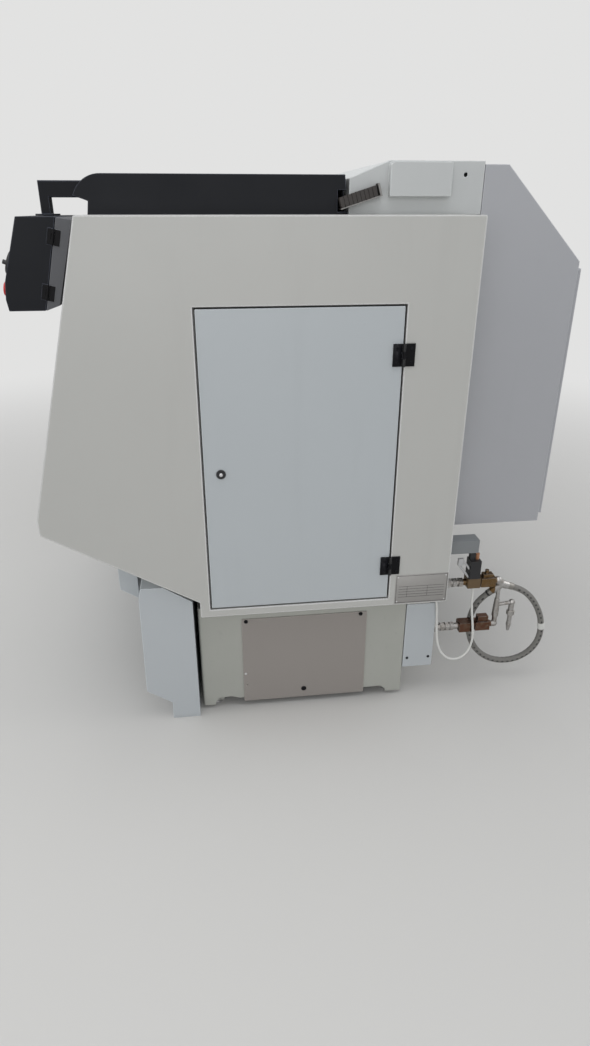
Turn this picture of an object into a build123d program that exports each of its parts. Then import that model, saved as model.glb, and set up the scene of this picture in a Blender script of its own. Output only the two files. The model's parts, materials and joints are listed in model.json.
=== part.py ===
from build123d import *
from math import atan2, cos, hypot, radians, sin, tan
import os

os.makedirs("parts", exist_ok=True)

# A slant bed lathe in millimetres. X runs along the spindle, with the tailstock at the
# positive end. The operator stands at negative Y. Z is up and the floor is at zero.
# The origin lies on the floor, in the middle of the four anchor holes of the base.

# Driving sizes: base casting
BASE_LENGTH = 1680
BASE_WIDTH = 730
BASE_BOTTOM = 15
BASE_TOP = 425
BASE_WALL = 25
FOOT_X = BASE_LENGTH / 2 - 60
FOOT_Y = BASE_WIDTH / 2 - 40
ANCHOR_X = BASE_LENGTH / 2 - 140
ANCHOR_HOLE = 22
END_OPENING_WIDTH = 380
END_OPENING_BOTTOM = 62
END_OPENING_TOP = 340

# Driving sizes: sheet metal enclosure, as a section across the machine
SHEET = 3
BEND = 5
COVER_PROUD = 60
LEFT_OVERHANG = 220
END_BOX_DEPTH = 180
LEFT_COVER_DEPTH = 30
NOSE_Y = -816
NOSE_TOP = 805
NOSE_BOTTOM = 755
TOP_FRONT_Y = -602
TOP_Z = 1635
STEP_Y = -BASE_WIDTH / 2 + 13
STEP_Z = 484
UNDERSIDE_Z = 428
REAR_Y = 482

# Driving sizes: access door in the right end cover
DOOR_Y = (STEP_Y + 38, 272)
DOOR_Z = (460, 1403)
DOOR_GAP = 6
DOOR_DEPTH = 20
DOOR_RECESS = 2
HINGE_SIZE = 65
HINGE_HEIGHTS = (1268, 581)
LOCK_Y = DOOR_Y[0] + 50
LOCK_Z = 926
LOCK_DIAMETER = 29

# Driving sizes: spindle line, slanted bed and its frame (t up the slope, n out of it)
SPINDLE_Y = -230
SPINDLE_Z = 1050
BED_ANGLE = 45
BED_FACE = -260
BED_X = (-700, BASE_LENGTH / 2 - 150)
RAIL_WIDTH = 30
RAIL_TOP = -232
SADDLE_RAILS = (75, 285)
TAILSTOCK_RAILS = (-165, -25)
SLIDE_CLEARANCE = 0.3
RUNNING_CLEARANCE = 0.05

# Driving sizes: headstock and spindle
HEADSTOCK_X = (-700, -350)
BEARING_RADIUS = 50
SPINDLE_BORE = 23
CHUCK_X = (-335, -250)
CHUCK_RADIUS = 82.5
JAW_WIDTH = 24
SPINDLE_PULLEY_RADIUS = 75
MOTOR_PULLEY_RADIUS = 50
PULLEY_X = (-800, -730)
BELT_THICKNESS = 8
MOTOR_Y = -400
MOTOR_Z = 730
MOTOR_X = (-690, -430)
MOTOR_HALF = 105
CYLINDER_X = (-985, -860)
CYLINDER_RADIUS = 70

# Driving sizes: saddle, cross slide, turret
SADDLE_X = (80, 320)
SADDLE_T = (45, 330)
SADDLE_N = (-225, -190)
SCREW_T = 180
SCREW_N = -236
SCREW_RADIUS = 14
X_SCREW_X = 200
X_SCREW_N = -172
X_SCREW_RADIUS = 10
X_RAIL_SPAN = 50
X_RAIL_WIDTH = 24
X_RAIL_TOP = -164
X_RAIL_T = (50, 510)
TURRET_T = 300
TURRET_X = (-20, 60)
TURRET_FLATS = 260
TURRET_STATIONS = 8
TOOL_REACH = 190

# Driving sizes: tailstock
TAIL_X = (420, 620)
BARREL_RADIUS = 58
QUILL_RADIUS = 32
CENTRE_SHANK = 12
CENTRE_TIP_X = 330

# Driving sizes: way covers
COVER_SKIRT_N = -228
COVER_LEFT_LENGTH = 220
COVER_RIGHT_LENGTH = 175
COVER_FIXED_LEFT_END = -118
COVER_FIXED_RIGHT_END = 515

# Driving sizes: front, with its own slanted frame (v up the slope, w out of it)
PANEL_W = -75
OPENING_HALF = 315
DOOR_HALF = 345
DOOR_V = (12, 852)
DOOR_W = (-30, -5)
WINDOW_HALF = 225
WINDOW_V = (330, 700)
RAIL_V = (850, 874)
RAIL_W = (-50, -42)

# Driving sizes: coolant tank under the front
TANK_X = (-BASE_LENGTH / 2 + 140, BASE_LENGTH / 2 + 35)
TANK_FRONT_Y = -556
TANK_BACK_Y = -BASE_WIDTH / 2 - 13
TANK_TOE_Y = -473
TANK_TOP = 534

# Driving sizes: hood, roof housing and what stands on the right of them
HOOD_TOP = 1737
HOOD_FRONT_Y = -626
HOOD_REAR_Y = 134
HOOD_UNDERSIDE = TOP_Z
ROOF_TOP = 1773
ROOF_REAR_Y = 529
BOX_Y = (249, 426)
BOX_Z = (1682, 1769)
BOX_DEPTH = 26

# Driving sizes: electrical cabinet at the rear
CABINET_X = (-100, 720)
CABINET_Y = (531, 862)
CABINET_BOTTOM = 630
CABINET_TOP = 1765
CABINET_CHAMFER_Y = 601
CABINET_CHAMFER_Z = 1503
CABINET_DOOR_X = (-84, 704)
CABINET_DOOR_Z = (652, 1482)
CABINET_DOOR_DEPTH = 17
CABINET_DOOR_GAP = 1

# Driving sizes: operator pendant
ARM_X = 620
ARM_WIDTH = 46
ARM_Z = (1679, 1722)
ARM_FRONT_Y = -729
ARM_DROP = 25
ARM_END_Y = -480
PENDANT_X = (420, 820)
PENDANT_TOP_Z = 1632
PENDANT_SHEET = 3

# Sizes worked out from the driving ones
RIGHT_FACE = BASE_LENGTH / 2 + COVER_PROUD
LEFT_FACE = -BASE_LENGTH / 2 - LEFT_OVERHANG
RIGHT_JOINT = RIGHT_FACE - END_BOX_DEPTH
LEFT_JOINT = LEFT_FACE + LEFT_COVER_DEPTH
FRONT_LEAN = atan2(TOP_FRONT_Y - NOSE_Y, TOP_Z - NOSE_TOP)
BED_LEAN = radians(BED_ANGLE)
SECTION = [
    (TOP_FRONT_Y, TOP_Z),
    (NOSE_Y, NOSE_TOP),
    (NOSE_Y, NOSE_BOTTOM),
    (STEP_Y, STEP_Z),
    (STEP_Y, UNDERSIDE_Z),
    (REAR_Y, UNDERSIDE_Z),
    (REAR_Y, TOP_Z),
]


def front_point(v, w):
    """Y and Z of a point of the slanted front, v up the slope and w out of it."""
    y = NOSE_Y + v * sin(FRONT_LEAN) - w * cos(FRONT_LEAN)
    z = NOSE_TOP + v * cos(FRONT_LEAN) + w * sin(FRONT_LEAN)
    return (y, z)


def bed_point(t, n):
    """Y and Z of a point of the slanted bed, t up the slope and n out of it."""
    y = SPINDLE_Y + t * cos(BED_LEAN) - n * sin(BED_LEAN)
    z = SPINDLE_Z + t * sin(BED_LEAN) + n * cos(BED_LEAN)
    return (y, z)


def outline_x(points, x_from, x_to, radius=0, mode=Mode.ADD):
    """Extrude a closed outline of Y and Z points along X."""
    with BuildSketch(Plane.YZ.offset(x_from)) as outline:
        with BuildLine():
            Polyline(*points, close=True)
        make_face()
        if radius:
            fillet(outline.vertices(), radius)
    extrude(outline.sketch, amount=x_to - x_from, mode=mode)


def round_x(y, z, radius, x_from, x_to, mode=Mode.ADD):
    """A round bar or hole along X."""
    with BuildSketch(Plane.YZ.offset(x_from)) as outline:
        with Locations((y, z)):
            Circle(radius)
    extrude(outline.sketch, amount=x_to - x_from, mode=mode)


def block(x, y, z, mode=Mode.ADD):
    """A square block given by its limits along X, Y and Z."""
    middle = ((x[0] + x[1]) / 2, (y[0] + y[1]) / 2, (z[0] + z[1]) / 2)
    with Locations(middle):
        Box(x[1] - x[0], y[1] - y[0], z[1] - z[0], mode=mode)


def bed_block(x, t, n, mode=Mode.ADD):
    """A block square to the slanted bed, given by its limits."""
    corners = [bed_point(t[0], n[0]), bed_point(t[1], n[0])]
    corners += [bed_point(t[1], n[1]), bed_point(t[0], n[1])]
    outline_x(corners, x[0], x[1], mode=mode)


def front_block(x, v, w, mode=Mode.ADD):
    """A block square to the slanted front, given by its limits."""
    corners = [front_point(v[0], w[0]), front_point(v[1], w[0])]
    corners += [front_point(v[1], w[1]), front_point(v[0], w[1])]
    outline_x(corners, x[0], x[1], mode=mode)


def folded(path, thickness):
    """Outline of a folded sheet: the path, and back along it moved left by the thickness."""
    moved = []
    for i, (y, z) in enumerate(path):
        normals = []
        for a, b in ((i - 1, i), (i, i + 1)):
            if a < 0 or b >= len(path):
                continue
            dy = path[b][0] - path[a][0]
            dz = path[b][1] - path[a][1]
            length = hypot(dy, dz)
            normals.append((-dz / length, dy / length))
        ny = sum(n[0] for n in normals) / len(normals)
        nz = sum(n[1] for n in normals) / len(normals)
        stretch = thickness / (ny * ny + nz * nz)
        moved.append((y + ny * stretch, z + nz * stretch))
    return list(path) + moved[::-1]


def turned(profile, y, z, mode=Mode.ADD):
    """A turned piece about a line along X, from its half profile of X and radius points."""
    with BuildSketch(Plane(origin=(0, y, z), x_dir=(1, 0, 0), z_dir=(0, -1, 0))) as half:
        with BuildLine():
            Polyline(*profile, close=True)
        make_face()
    revolve(half.sketch, axis=Axis((0, y, z), (1, 0, 0)), mode=mode)


def inset_section(amount):
    """The enclosure's section moved inward, as a sketch on the YZ plane."""
    with BuildSketch(Plane.YZ) as section:
        with BuildLine():
            Polyline(*SECTION, close=True)
        make_face()
        fillet(section.vertices(), BEND)
        if amount:
            offset(amount=-amount, kind=Kind.INTERSECTION, mode=Mode.REPLACE)
    return section.sketch


def section_x(amount, x_from, x_to, mode=Mode.ADD):
    """Extrude the enclosure's section, moved inward by an amount, between two X values."""
    extrude(inset_section(amount).moved(Location((x_from, 0, 0))), amount=x_to - x_from, mode=mode)


def save(builder, name):
    """Label the finished piece and write it under its node's name."""
    builder.part.label = name
    export_step(builder.part, "parts/" + name + ".step")


# Machine base: a box casting, open below, on six pads
LUG_TOP = BASE_BOTTOM + 30
RIB_HALF = 10
RIB_X = 280
ARCH_Z = 45

with BuildPart() as machine_base:
    half_x = BASE_LENGTH / 2
    half_y = BASE_WIDTH / 2
    block((-half_x, half_x), (-half_y, half_y), (BASE_BOTTOM, BASE_TOP))
    fillet(machine_base.edges().filter_by(Axis.Z), 8)
    inner_x = half_x - BASE_WALL
    inner_y = half_y - BASE_WALL
    block((-inner_x, inner_x), (-inner_y, inner_y), (0, BASE_TOP - BASE_WALL), mode=Mode.SUBTRACT)
    for side in (-1, 1):
        block(
            (side * RIB_X - RIB_HALF, side * RIB_X + RIB_HALF),
            (-inner_y, inner_y),
            (ARCH_Z, BASE_TOP - BASE_WALL),
        )
    # the end walls stand clear of the floor between their pads
    arch = [(-half_y + 43, 0), (-half_y + 43, 24), (-half_y + 57, ARCH_Z)]
    arch += [(-half_y + 102, ARCH_Z + 2), (-half_y + 130, 38)]
    arch += [(half_y - 76, 41), (half_y - 60, 24), (half_y - 60, 0)]
    outline_x(arch, -half_x - 1, half_x + 1, mode=Mode.SUBTRACT)
    for side in (-1, 1):
        arch_x = [(side * RIB_X - 180, 0), (side * RIB_X - 150, ARCH_Z)]
        arch_x += [(side * RIB_X + 150, ARCH_Z), (side * RIB_X + 180, 0)]
        with BuildSketch(Plane.XZ.offset(-half_y - 1)) as side_arch:
            with BuildLine():
                Polyline(*arch_x, close=True)
            make_face()
        extrude(side_arch.sketch, amount=BASE_WIDTH + 2, mode=Mode.SUBTRACT)
    opening_y = END_OPENING_WIDTH / 2
    block(
        (inner_x - 1, half_x + 1),
        (-opening_y, opening_y),
        (END_OPENING_BOTTOM, END_OPENING_TOP),
        mode=Mode.SUBTRACT,
    )
    # lugs inside the walls take the levelling screws and the anchor bolts
    for x_side in (-1, 1):
        for y_side in (-1, 1):
            block(
                sorted((x_side * (FOOT_X + 35), x_side * (ANCHOR_X - 40))),
                sorted((y_side * inner_y, y_side * (FOOT_Y - 35))),
                (BASE_BOTTOM, LUG_TOP),
            )
    for y_side in (-1, 1):
        block((-40, 40), sorted((y_side * inner_y, y_side * (FOOT_Y - 35))), (BASE_BOTTOM, LUG_TOP))
    hole_places = [(x, y) for x in (-FOOT_X, 0, FOOT_X) for y in (-FOOT_Y, FOOT_Y)]
    hole_places += [(x, y) for x in (-ANCHOR_X, ANCHOR_X) for y in (-FOOT_Y, FOOT_Y)]
    with BuildSketch(Plane.XY.offset(BASE_BOTTOM - 1)) as lug_holes:
        with Locations(*hole_places):
            Circle(ANCHOR_HOLE / 2)
    extrude(lug_holes.sketch, amount=LUG_TOP - BASE_BOTTOM + 2, mode=Mode.SUBTRACT)
    # low pads on the top carry the sheet metal
    for pad_x in (-half_x + 100, -240, 260):
        block((pad_x, pad_x + 60), (STEP_Y - 8, STEP_Y + 8), (BASE_TOP, UNDERSIDE_Z))
    for pad_y in (-half_y + 35, half_y - 75):
        block((half_x - 70, half_x - 20), (pad_y, pad_y + 40), (BASE_TOP, UNDERSIDE_Z))
save(machine_base, "machine_base")


# Service plate screwed over the opening in the base's right end
PLATE_Y = (-218, 221)
PLATE_Z = (24, 372)

with BuildPart() as base_cover_plate:
    with BuildSketch(Plane.YZ.offset(BASE_LENGTH / 2)) as plate:
        with Locations(((PLATE_Y[0] + PLATE_Y[1]) / 2, (PLATE_Z[0] + PLATE_Z[1]) / 2)):
            RectangleRounded(PLATE_Y[1] - PLATE_Y[0], PLATE_Z[1] - PLATE_Z[0], 4)
        with Locations((PLATE_Y[0] + 12, PLATE_Z[0] + 72)):
            Circle(2.5, mode=Mode.SUBTRACT)
    extrude(plate.sketch, amount=SHEET)
save(base_cover_plate, "base_cover_plate")


# Levelling feet: a round pad with its screw and lock nut under each corner and the middle
PAD_RADIUS = 35
PAD_HEIGHT = 8
SCREW_TOP = LUG_TOP + 28

with BuildPart() as levelling_feet:
    foot_places = [(x, y) for x in (-FOOT_X, 0, FOOT_X) for y in (-FOOT_Y, FOOT_Y)]
    with BuildSketch(Plane.XY) as pads:
        with Locations(*foot_places):
            Circle(PAD_RADIUS)
    extrude(pads.sketch, amount=PAD_HEIGHT)
    chamfer(levelling_feet.edges().group_by(Axis.Z)[-1], 3)
    with BuildSketch(Plane.XY.offset(PAD_HEIGHT)) as screws:
        with Locations(*foot_places):
            Circle(ANCHOR_HOLE / 2 - 1)
    extrude(screws.sketch, amount=SCREW_TOP - PAD_HEIGHT)
    with BuildSketch(Plane.XY.offset(PAD_HEIGHT)) as low_nuts:
        with Locations(*foot_places):
            RegularPolygon(radius=17, side_count=6)
    extrude(low_nuts.sketch, amount=BASE_BOTTOM - PAD_HEIGHT)
    with BuildSketch(Plane.XY.offset(LUG_TOP)) as lock_nuts:
        with Locations(*foot_places):
            RegularPolygon(radius=17, side_count=6)
    extrude(lock_nuts.sketch, amount=14)
save(levelling_feet, "levelling_feet")


# Rear brackets: the panel behind the base's right end and the channel that holds the valve
BRACKET_Y = (BASE_WIDTH / 2, 473)
BRACKET_Z = (120, 385)
CHANNEL_Y = (REAR_Y, 603)
CHANNEL_Z = (576, 624)
PIPE_X = BASE_LENGTH / 2 - 25
LOWER_LINE_Z = 267
UPPER_LINE_Z = 449
PIPE_RADIUS = 12

with BuildPart() as rear_brackets:
    bracket_x = BASE_LENGTH / 2
    block((bracket_x - SHEET, bracket_x), BRACKET_Y, BRACKET_Z)
    block((bracket_x - 60, bracket_x), (BRACKET_Y[0], BRACKET_Y[0] + SHEET), BRACKET_Z)
    block((bracket_x - 60, bracket_x), (BRACKET_Y[1] - SHEET, BRACKET_Y[1]), BRACKET_Z)
    with BuildSketch(Plane.XZ.offset(-BRACKET_Y[1] - 1)) as pipe_hole:
        with Locations((PIPE_X, LOWER_LINE_Z)):
            Circle(PIPE_RADIUS + SLIDE_CLEARANCE)
    extrude(pipe_hole.sketch, amount=SHEET + 2, mode=Mode.SUBTRACT)
    block((bracket_x - 50, bracket_x), CHANNEL_Y, CHANNEL_Z)
    block(
        (bracket_x - 51, bracket_x - SHEET),
        (CHANNEL_Y[0] + SHEET, CHANNEL_Y[1] + 1),
        (CHANNEL_Z[0] + SHEET, CHANNEL_Z[1] - SHEET),
        mode=Mode.SUBTRACT,
    )
save(rear_brackets, "rear_brackets")


# Slant bed casting with its cored inside and the four hardened rails bolted to it
BED_FOOT_Y = -STEP_Y - 12
LEDGE_Z = 600

with BuildPart() as slant_bed:
    low_edge = bed_point(-200, BED_FACE)
    high_edge = bed_point(330, BED_FACE)
    bed_section = [(-BED_FOOT_Y, BASE_TOP), (BED_FOOT_Y, BASE_TOP), (BED_FOOT_Y, 560), (330, 900)]
    bed_section += [(250, high_edge[1]), high_edge, low_edge, (-262, 650), (-262, LEDGE_Z)]
    bed_section += [(-BED_FOOT_Y, LEDGE_Z)]
    outline_x(bed_section, BED_X[0], BED_X[1])
    front_core = [(-215, 470), (-15, 470), (-15, 830), (-150, 695), (-215, 620)]
    rear_core = [(25, 470), (BED_FOOT_Y - 45, 470), (BED_FOOT_Y - 50, 880), (232, 1045)]
    rear_core += [(200, 1045), (25, 870)]
    outline_x(front_core, BED_X[0] - 1, BED_X[1] + 1, radius=12, mode=Mode.SUBTRACT)
    outline_x(rear_core, BED_X[0] - 1, BED_X[1] + 1, radius=12, mode=Mode.SUBTRACT)
    for rail_t in SADDLE_RAILS + TAILSTOCK_RAILS:
        bed_block(
            (HEADSTOCK_X[1] + 8, BED_X[1]),
            (rail_t - RAIL_WIDTH / 2, rail_t + RAIL_WIDTH / 2),
            (BED_FACE, RAIL_TOP),
        )
    # bearing blocks of the long ball screw
    screw_y, screw_z = bed_point(SCREW_T, SCREW_N)
    for block_x in ((-341, -311), (BED_X[1] - 25, BED_X[1])):
        bed_block(block_x, (SCREW_T - 32, SCREW_T + 32), (BED_FACE, -214))
        round_x(
            screw_y,
            screw_z,
            SCREW_RADIUS + RUNNING_CLEARANCE,
            block_x[0],
            block_x[1],
            mode=Mode.SUBTRACT,
        )
save(slant_bed, "slant_bed")


# Headstock casting, bored for the spindle bearings
HEAD_SECTION = [(-200, BED_FACE), (330, BED_FACE), (330, -205), (150, -110), (140, 90), (90, 140)]
HEAD_SECTION += [(-90, 140), (-140, 90), (-140, -100), (-200, -165)]
BEARING_LENGTH = 90
CORE_RADIUS = 60

with BuildPart() as headstock:
    outline_x([bed_point(t, n) for t, n in HEAD_SECTION], HEADSTOCK_X[0], HEADSTOCK_X[1], radius=6)
    round_x(
        SPINDLE_Y,
        SPINDLE_Z,
        BEARING_RADIUS + RUNNING_CLEARANCE,
        HEADSTOCK_X[0] - 1,
        HEADSTOCK_X[1] + 1,
        mode=Mode.SUBTRACT,
    )
    round_x(
        SPINDLE_Y,
        SPINDLE_Z,
        CORE_RADIUS,
        HEADSTOCK_X[0] + BEARING_LENGTH,
        HEADSTOCK_X[1] - BEARING_LENGTH,
        mode=Mode.SUBTRACT,
    )
    # cooling fins round the two bearing seats
    for fin_x in range(HEADSTOCK_X[0] + 24, HEADSTOCK_X[1] - 20, 32):
        bed_block((fin_x, fin_x + 8), (-126, 126), (136, 152))
save(headstock, "headstock")


# Spindle: one turned and bored shaft with its nose flange
NOSE_RADIUS = 68
SEAT_RADIUS = 40
TAIL_RADIUS = 30
SPINDLE_REAR = -1000

with BuildPart() as spindle:
    shaft = [(SPINDLE_REAR, SPINDLE_BORE), (SPINDLE_REAR, TAIL_RADIUS), (-820, TAIL_RADIUS)]
    shaft += [(-820, SEAT_RADIUS), (-706, SEAT_RADIUS), (-706, BEARING_RADIUS)]
    shaft += [(HEADSTOCK_X[1] + 1, BEARING_RADIUS), (HEADSTOCK_X[1] + 1, NOSE_RADIUS)]
    shaft += [(CHUCK_X[0], NOSE_RADIUS), (CHUCK_X[0], SPINDLE_BORE)]
    turned(shaft, SPINDLE_Y, SPINDLE_Z)
save(spindle, "spindle")


def pulley(radius, hub, bore, y, z):
    """A belt pulley with two rims, a hub and a lightened web between them."""
    rim = radius + BELT_THICKNESS + 4
    inner = radius - 8
    x_from, x_to = PULLEY_X
    half = [(x_from, bore), (x_from, hub), (x_from + 16, hub), (x_from + 16, inner)]
    half += [(x_from, inner), (x_from, rim), (x_from + 4, rim), (x_from + 4, radius)]
    half += [(x_to - 4, radius), (x_to - 4, rim), (x_to, rim), (x_to, inner)]
    half += [(x_to - 16, inner), (x_to - 16, hub), (x_to, hub), (x_to, bore)]
    turned(half, y, z)


with BuildPart() as spindle_pulley:
    pulley(SPINDLE_PULLEY_RADIUS, SEAT_RADIUS + 12, SEAT_RADIUS, SPINDLE_Y, SPINDLE_Z)
save(spindle_pulley, "spindle_pulley")


# Main motor on its ledge in front of the bed, with feet and a finned frame
MOTOR_SHAFT = 19
MOTOR_PLATE_Z = (LEDGE_Z, LEDGE_Z + 12)

with BuildPart() as spindle_motor:
    half = MOTOR_HALF
    frame = [(MOTOR_Y - half, MOTOR_Z - half), (MOTOR_Y + half, MOTOR_Z - half)]
    frame += [(MOTOR_Y + half, MOTOR_Z + half), (MOTOR_Y - half, MOTOR_Z + half)]
    outline_x(frame, MOTOR_X[0], MOTOR_X[1], radius=22)
    for fin_x in range(MOTOR_X[0] + 30, MOTOR_X[1] - 20, 22):
        outline_x(frame, fin_x, fin_x + 8, radius=22, mode=Mode.SUBTRACT)
        shorter = [(MOTOR_Y + sy * (half - 10), MOTOR_Z + sz * (half - 10)) for sy, sz in
                   ((-1, -1), (1, -1), (1, 1), (-1, 1))]
        outline_x(shorter, fin_x, fin_x + 8, radius=18)
    round_x(MOTOR_Y, MOTOR_Z, half - 8, MOTOR_X[1], MOTOR_X[1] + 45)
    shaft_bore = MOTOR_SHAFT + RUNNING_CLEARANCE
    round_x(MOTOR_Y, MOTOR_Z, shaft_bore, MOTOR_X[0] - 1, MOTOR_X[0] + 40, mode=Mode.SUBTRACT)
    for foot_x in (MOTOR_X[0] + 20, MOTOR_X[1] - 60):
        block(
            (foot_x, foot_x + 40),
            (MOTOR_Y - half - 5, MOTOR_Y + half),
            (MOTOR_PLATE_Z[1], MOTOR_Z - half + 4),
        )
    block((MOTOR_X[0], MOTOR_X[1]), (MOTOR_Y - half - 5, -264), MOTOR_PLATE_Z)
save(spindle_motor, "spindle_motor")

with BuildPart() as motor_pulley:
    pulley(MOTOR_PULLEY_RADIUS, MOTOR_SHAFT + 11, 0, MOTOR_Y, MOTOR_Z)
    round_x(MOTOR_Y, MOTOR_Z, MOTOR_SHAFT, PULLEY_X[1], MOTOR_X[0] + 38)
save(motor_pulley, "motor_pulley")


# Drive belt round both pulleys
with BuildPart() as drive_belt:
    for grow, mode in ((BELT_THICKNESS, Mode.ADD), (SLIDE_CLEARANCE, Mode.SUBTRACT)):
        with BuildSketch(Plane.YZ.offset(PULLEY_X[0] + 6)) as loop:
            with Locations((SPINDLE_Y, SPINDLE_Z)):
                Circle(SPINDLE_PULLEY_RADIUS + grow)
            with Locations((MOTOR_Y, MOTOR_Z)):
                Circle(MOTOR_PULLEY_RADIUS + grow)
            make_hull()
        extrude(loop.sketch, amount=PULLEY_X[1] - PULLEY_X[0] - 12, mode=mode)
save(drive_belt, "drive_belt")


# Chuck actuating cylinder on the rear end of the spindle
with BuildPart() as chuck_cylinder:
    ram = [(CYLINDER_X[0], TAIL_RADIUS), (CYLINDER_X[0], 44), (-950, 44), (-950, CYLINDER_RADIUS)]
    ram += [(-880, CYLINDER_RADIUS), (-880, 56), (CYLINDER_X[1], 56), (CYLINDER_X[1], TAIL_RADIUS)]
    turned(ram, SPINDLE_Y, SPINDLE_Z)
save(chuck_cylinder, "chuck_cylinder")


# Three jaw power chuck: body with radial slots, and three stepped jaws
JAW_BASE_X = CHUCK_X[1] - 25
JAW_FACE_X = CHUCK_X[1] + 35
JAW_ANGLES = (90, 210, 330)


def jaw_plane(angle):
    """A plane through the spindle line, its second axis pointing out along one jaw."""
    a = radians(angle)
    return Plane(origin=(0, SPINDLE_Y, SPINDLE_Z), x_dir=(1, 0, 0), z_dir=(0, -sin(a), cos(a)))


with BuildPart() as chuck_body:
    rim = [(CHUCK_X[0], SPINDLE_BORE), (CHUCK_X[0], CHUCK_RADIUS - 3), (CHUCK_X[0] + 3, CHUCK_RADIUS)]
    rim += [(CHUCK_X[1] - 4, CHUCK_RADIUS), (CHUCK_X[1], CHUCK_RADIUS - 4), (CHUCK_X[1], SPINDLE_BORE)]
    turned(rim, SPINDLE_Y, SPINDLE_Z)
    slot_half = JAW_WIDTH / 2 + SLIDE_CLEARANCE
    for angle in JAW_ANGLES:
        with BuildSketch(jaw_plane(angle)) as slot:
            with Locations(((JAW_BASE_X - SLIDE_CLEARANCE + CHUCK_X[1] + 1) / 2, 55)):
                Rectangle(CHUCK_X[1] + 1 - JAW_BASE_X + SLIDE_CLEARANCE, 66)
        extrude(slot.sketch, amount=slot_half, both=True, mode=Mode.SUBTRACT)
save(chuck_body, "chuck_body")

for number, angle in enumerate(JAW_ANGLES, start=1):
    with BuildPart() as chuck_jaw:
        with BuildSketch(jaw_plane(angle)) as side_view:
            with BuildLine():
                Polyline(
                    (JAW_BASE_X, 28),
                    (CHUCK_X[1] + 12, 28),
                    (CHUCK_X[1] + 12, 34),
                    (JAW_FACE_X, 34),
                    (JAW_FACE_X, 48),
                    (CHUCK_X[1] + 24, 48),
                    (CHUCK_X[1] + 24, 62),
                    (CHUCK_X[1] + 13, 62),
                    (CHUCK_X[1] + 13, 76),
                    (JAW_BASE_X, 76),
                    close=True,
                )
            make_face()
        extrude(side_view.sketch, amount=JAW_WIDTH / 2, both=True)
        with BuildSketch(jaw_plane(angle)) as bolts:
            with Locations((CHUCK_X[1] + 9, 69)):
                Rectangle(8, 8)
        extrude(bolts.sketch, amount=4, both=True, mode=Mode.SUBTRACT)
    save(chuck_jaw, "chuck_jaw_" + str(number))


# Saddle on the bed rails, with the cross rails on its face
EXTENSION_T = (330, 524)
EXTENSION_X = (X_SCREW_X - 72, X_SCREW_X + 72)

with BuildPart() as saddle:
    bed_block(SADDLE_X, SADDLE_T, SADDLE_N)
    bed_block(EXTENSION_X, EXTENSION_T, SADDLE_N)
    # four carriages wrap the bed rails
    for rail_t in SADDLE_RAILS:
        for run_x in (SADDLE_X[0] + 10, SADDLE_X[1] - 80):
            bed_block((run_x, run_x + 70), (rail_t - 27, rail_t + 27), (-254, SADDLE_N[0]))
        rail_half = RAIL_WIDTH / 2 + SLIDE_CLEARANCE
        bed_block(
            SADDLE_X,
            (rail_t - rail_half, rail_t + rail_half),
            (BED_FACE, RAIL_TOP + SLIDE_CLEARANCE),
            mode=Mode.SUBTRACT,
        )
    # nut of the long ball screw
    bed_block(SADDLE_X, (SCREW_T - 24, SCREW_T + 24), (SADDLE_N[0] - 1, -214), mode=Mode.SUBTRACT)
    bed_block((170, 230), (SCREW_T - 30, SCREW_T + 30), (-256, -205))
    round_x(screw_y, screw_z, SCREW_RADIUS + RUNNING_CLEARANCE, 169, 231, mode=Mode.SUBTRACT)
    for rail_x in (X_SCREW_X - X_RAIL_SPAN, X_SCREW_X + X_RAIL_SPAN):
        bed_block(
            (rail_x - X_RAIL_WIDTH / 2, rail_x + X_RAIL_WIDTH / 2),
            X_RAIL_T,
            (SADDLE_N[1], X_RAIL_TOP),
        )
    bed_block((X_SCREW_X - 22, X_SCREW_X + 22), (SADDLE_T[0], 65), (SADDLE_N[1], -152))
    bed_block((X_SCREW_X - 48, X_SCREW_X + 48), (512, EXTENSION_T[1]), (SADDLE_N[1], -126))
    x_screw_line = Plane(
        origin=(X_SCREW_X, *bed_point(0, X_SCREW_N)),
        x_dir=(1, 0, 0),
        z_dir=(0, cos(BED_LEAN), sin(BED_LEAN)),
    )
    with BuildSketch(x_screw_line) as screw_hole:
        Circle(X_SCREW_RADIUS + RUNNING_CLEARANCE)
    extrude(screw_hole.sketch, amount=EXTENSION_T[1] + 1, mode=Mode.SUBTRACT)
save(saddle, "saddle")


# Long ball screw and its servo motor at the right end of the bed
SERVO_X = (RIGHT_JOINT + 7, RIGHT_FACE - 30)
SERVO_HALF = 55

with BuildPart() as z_ball_screw:
    round_x(screw_y, screw_z, SCREW_RADIUS, -341, SERVO_X[0] + 10)
save(z_ball_screw, "z_ball_screw")

with BuildPart() as z_servo_motor:
    servo_section = [(screw_y + sy * SERVO_HALF, screw_z + sz * SERVO_HALF) for sy, sz in
                     ((-1, -1), (1, -1), (1, 1), (-1, 1))]
    outline_x(servo_section, SERVO_X[0], SERVO_X[1] - 30, radius=8)
    round_x(screw_y, screw_z, SERVO_HALF - 6, SERVO_X[1] - 30, SERVO_X[1])
    round_x(screw_y, screw_z, 25, BED_X[1], SERVO_X[0])
    screw_bore = SCREW_RADIUS + RUNNING_CLEARANCE
    round_x(screw_y, screw_z, screw_bore, BED_X[1] - 1, SERVO_X[0] + 12, mode=Mode.SUBTRACT)
    block((SERVO_X[1] - 75, SERVO_X[1] - 35), (screw_y - 18, screw_y + 18), (screw_z + 50, screw_z + 80))
save(z_servo_motor, "z_servo_motor")


# Cross ball screw and its servo motor at the top of the saddle
X_SERVO_T = (EXTENSION_T[1], 684)
X_SERVO_HALF = 45

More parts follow.
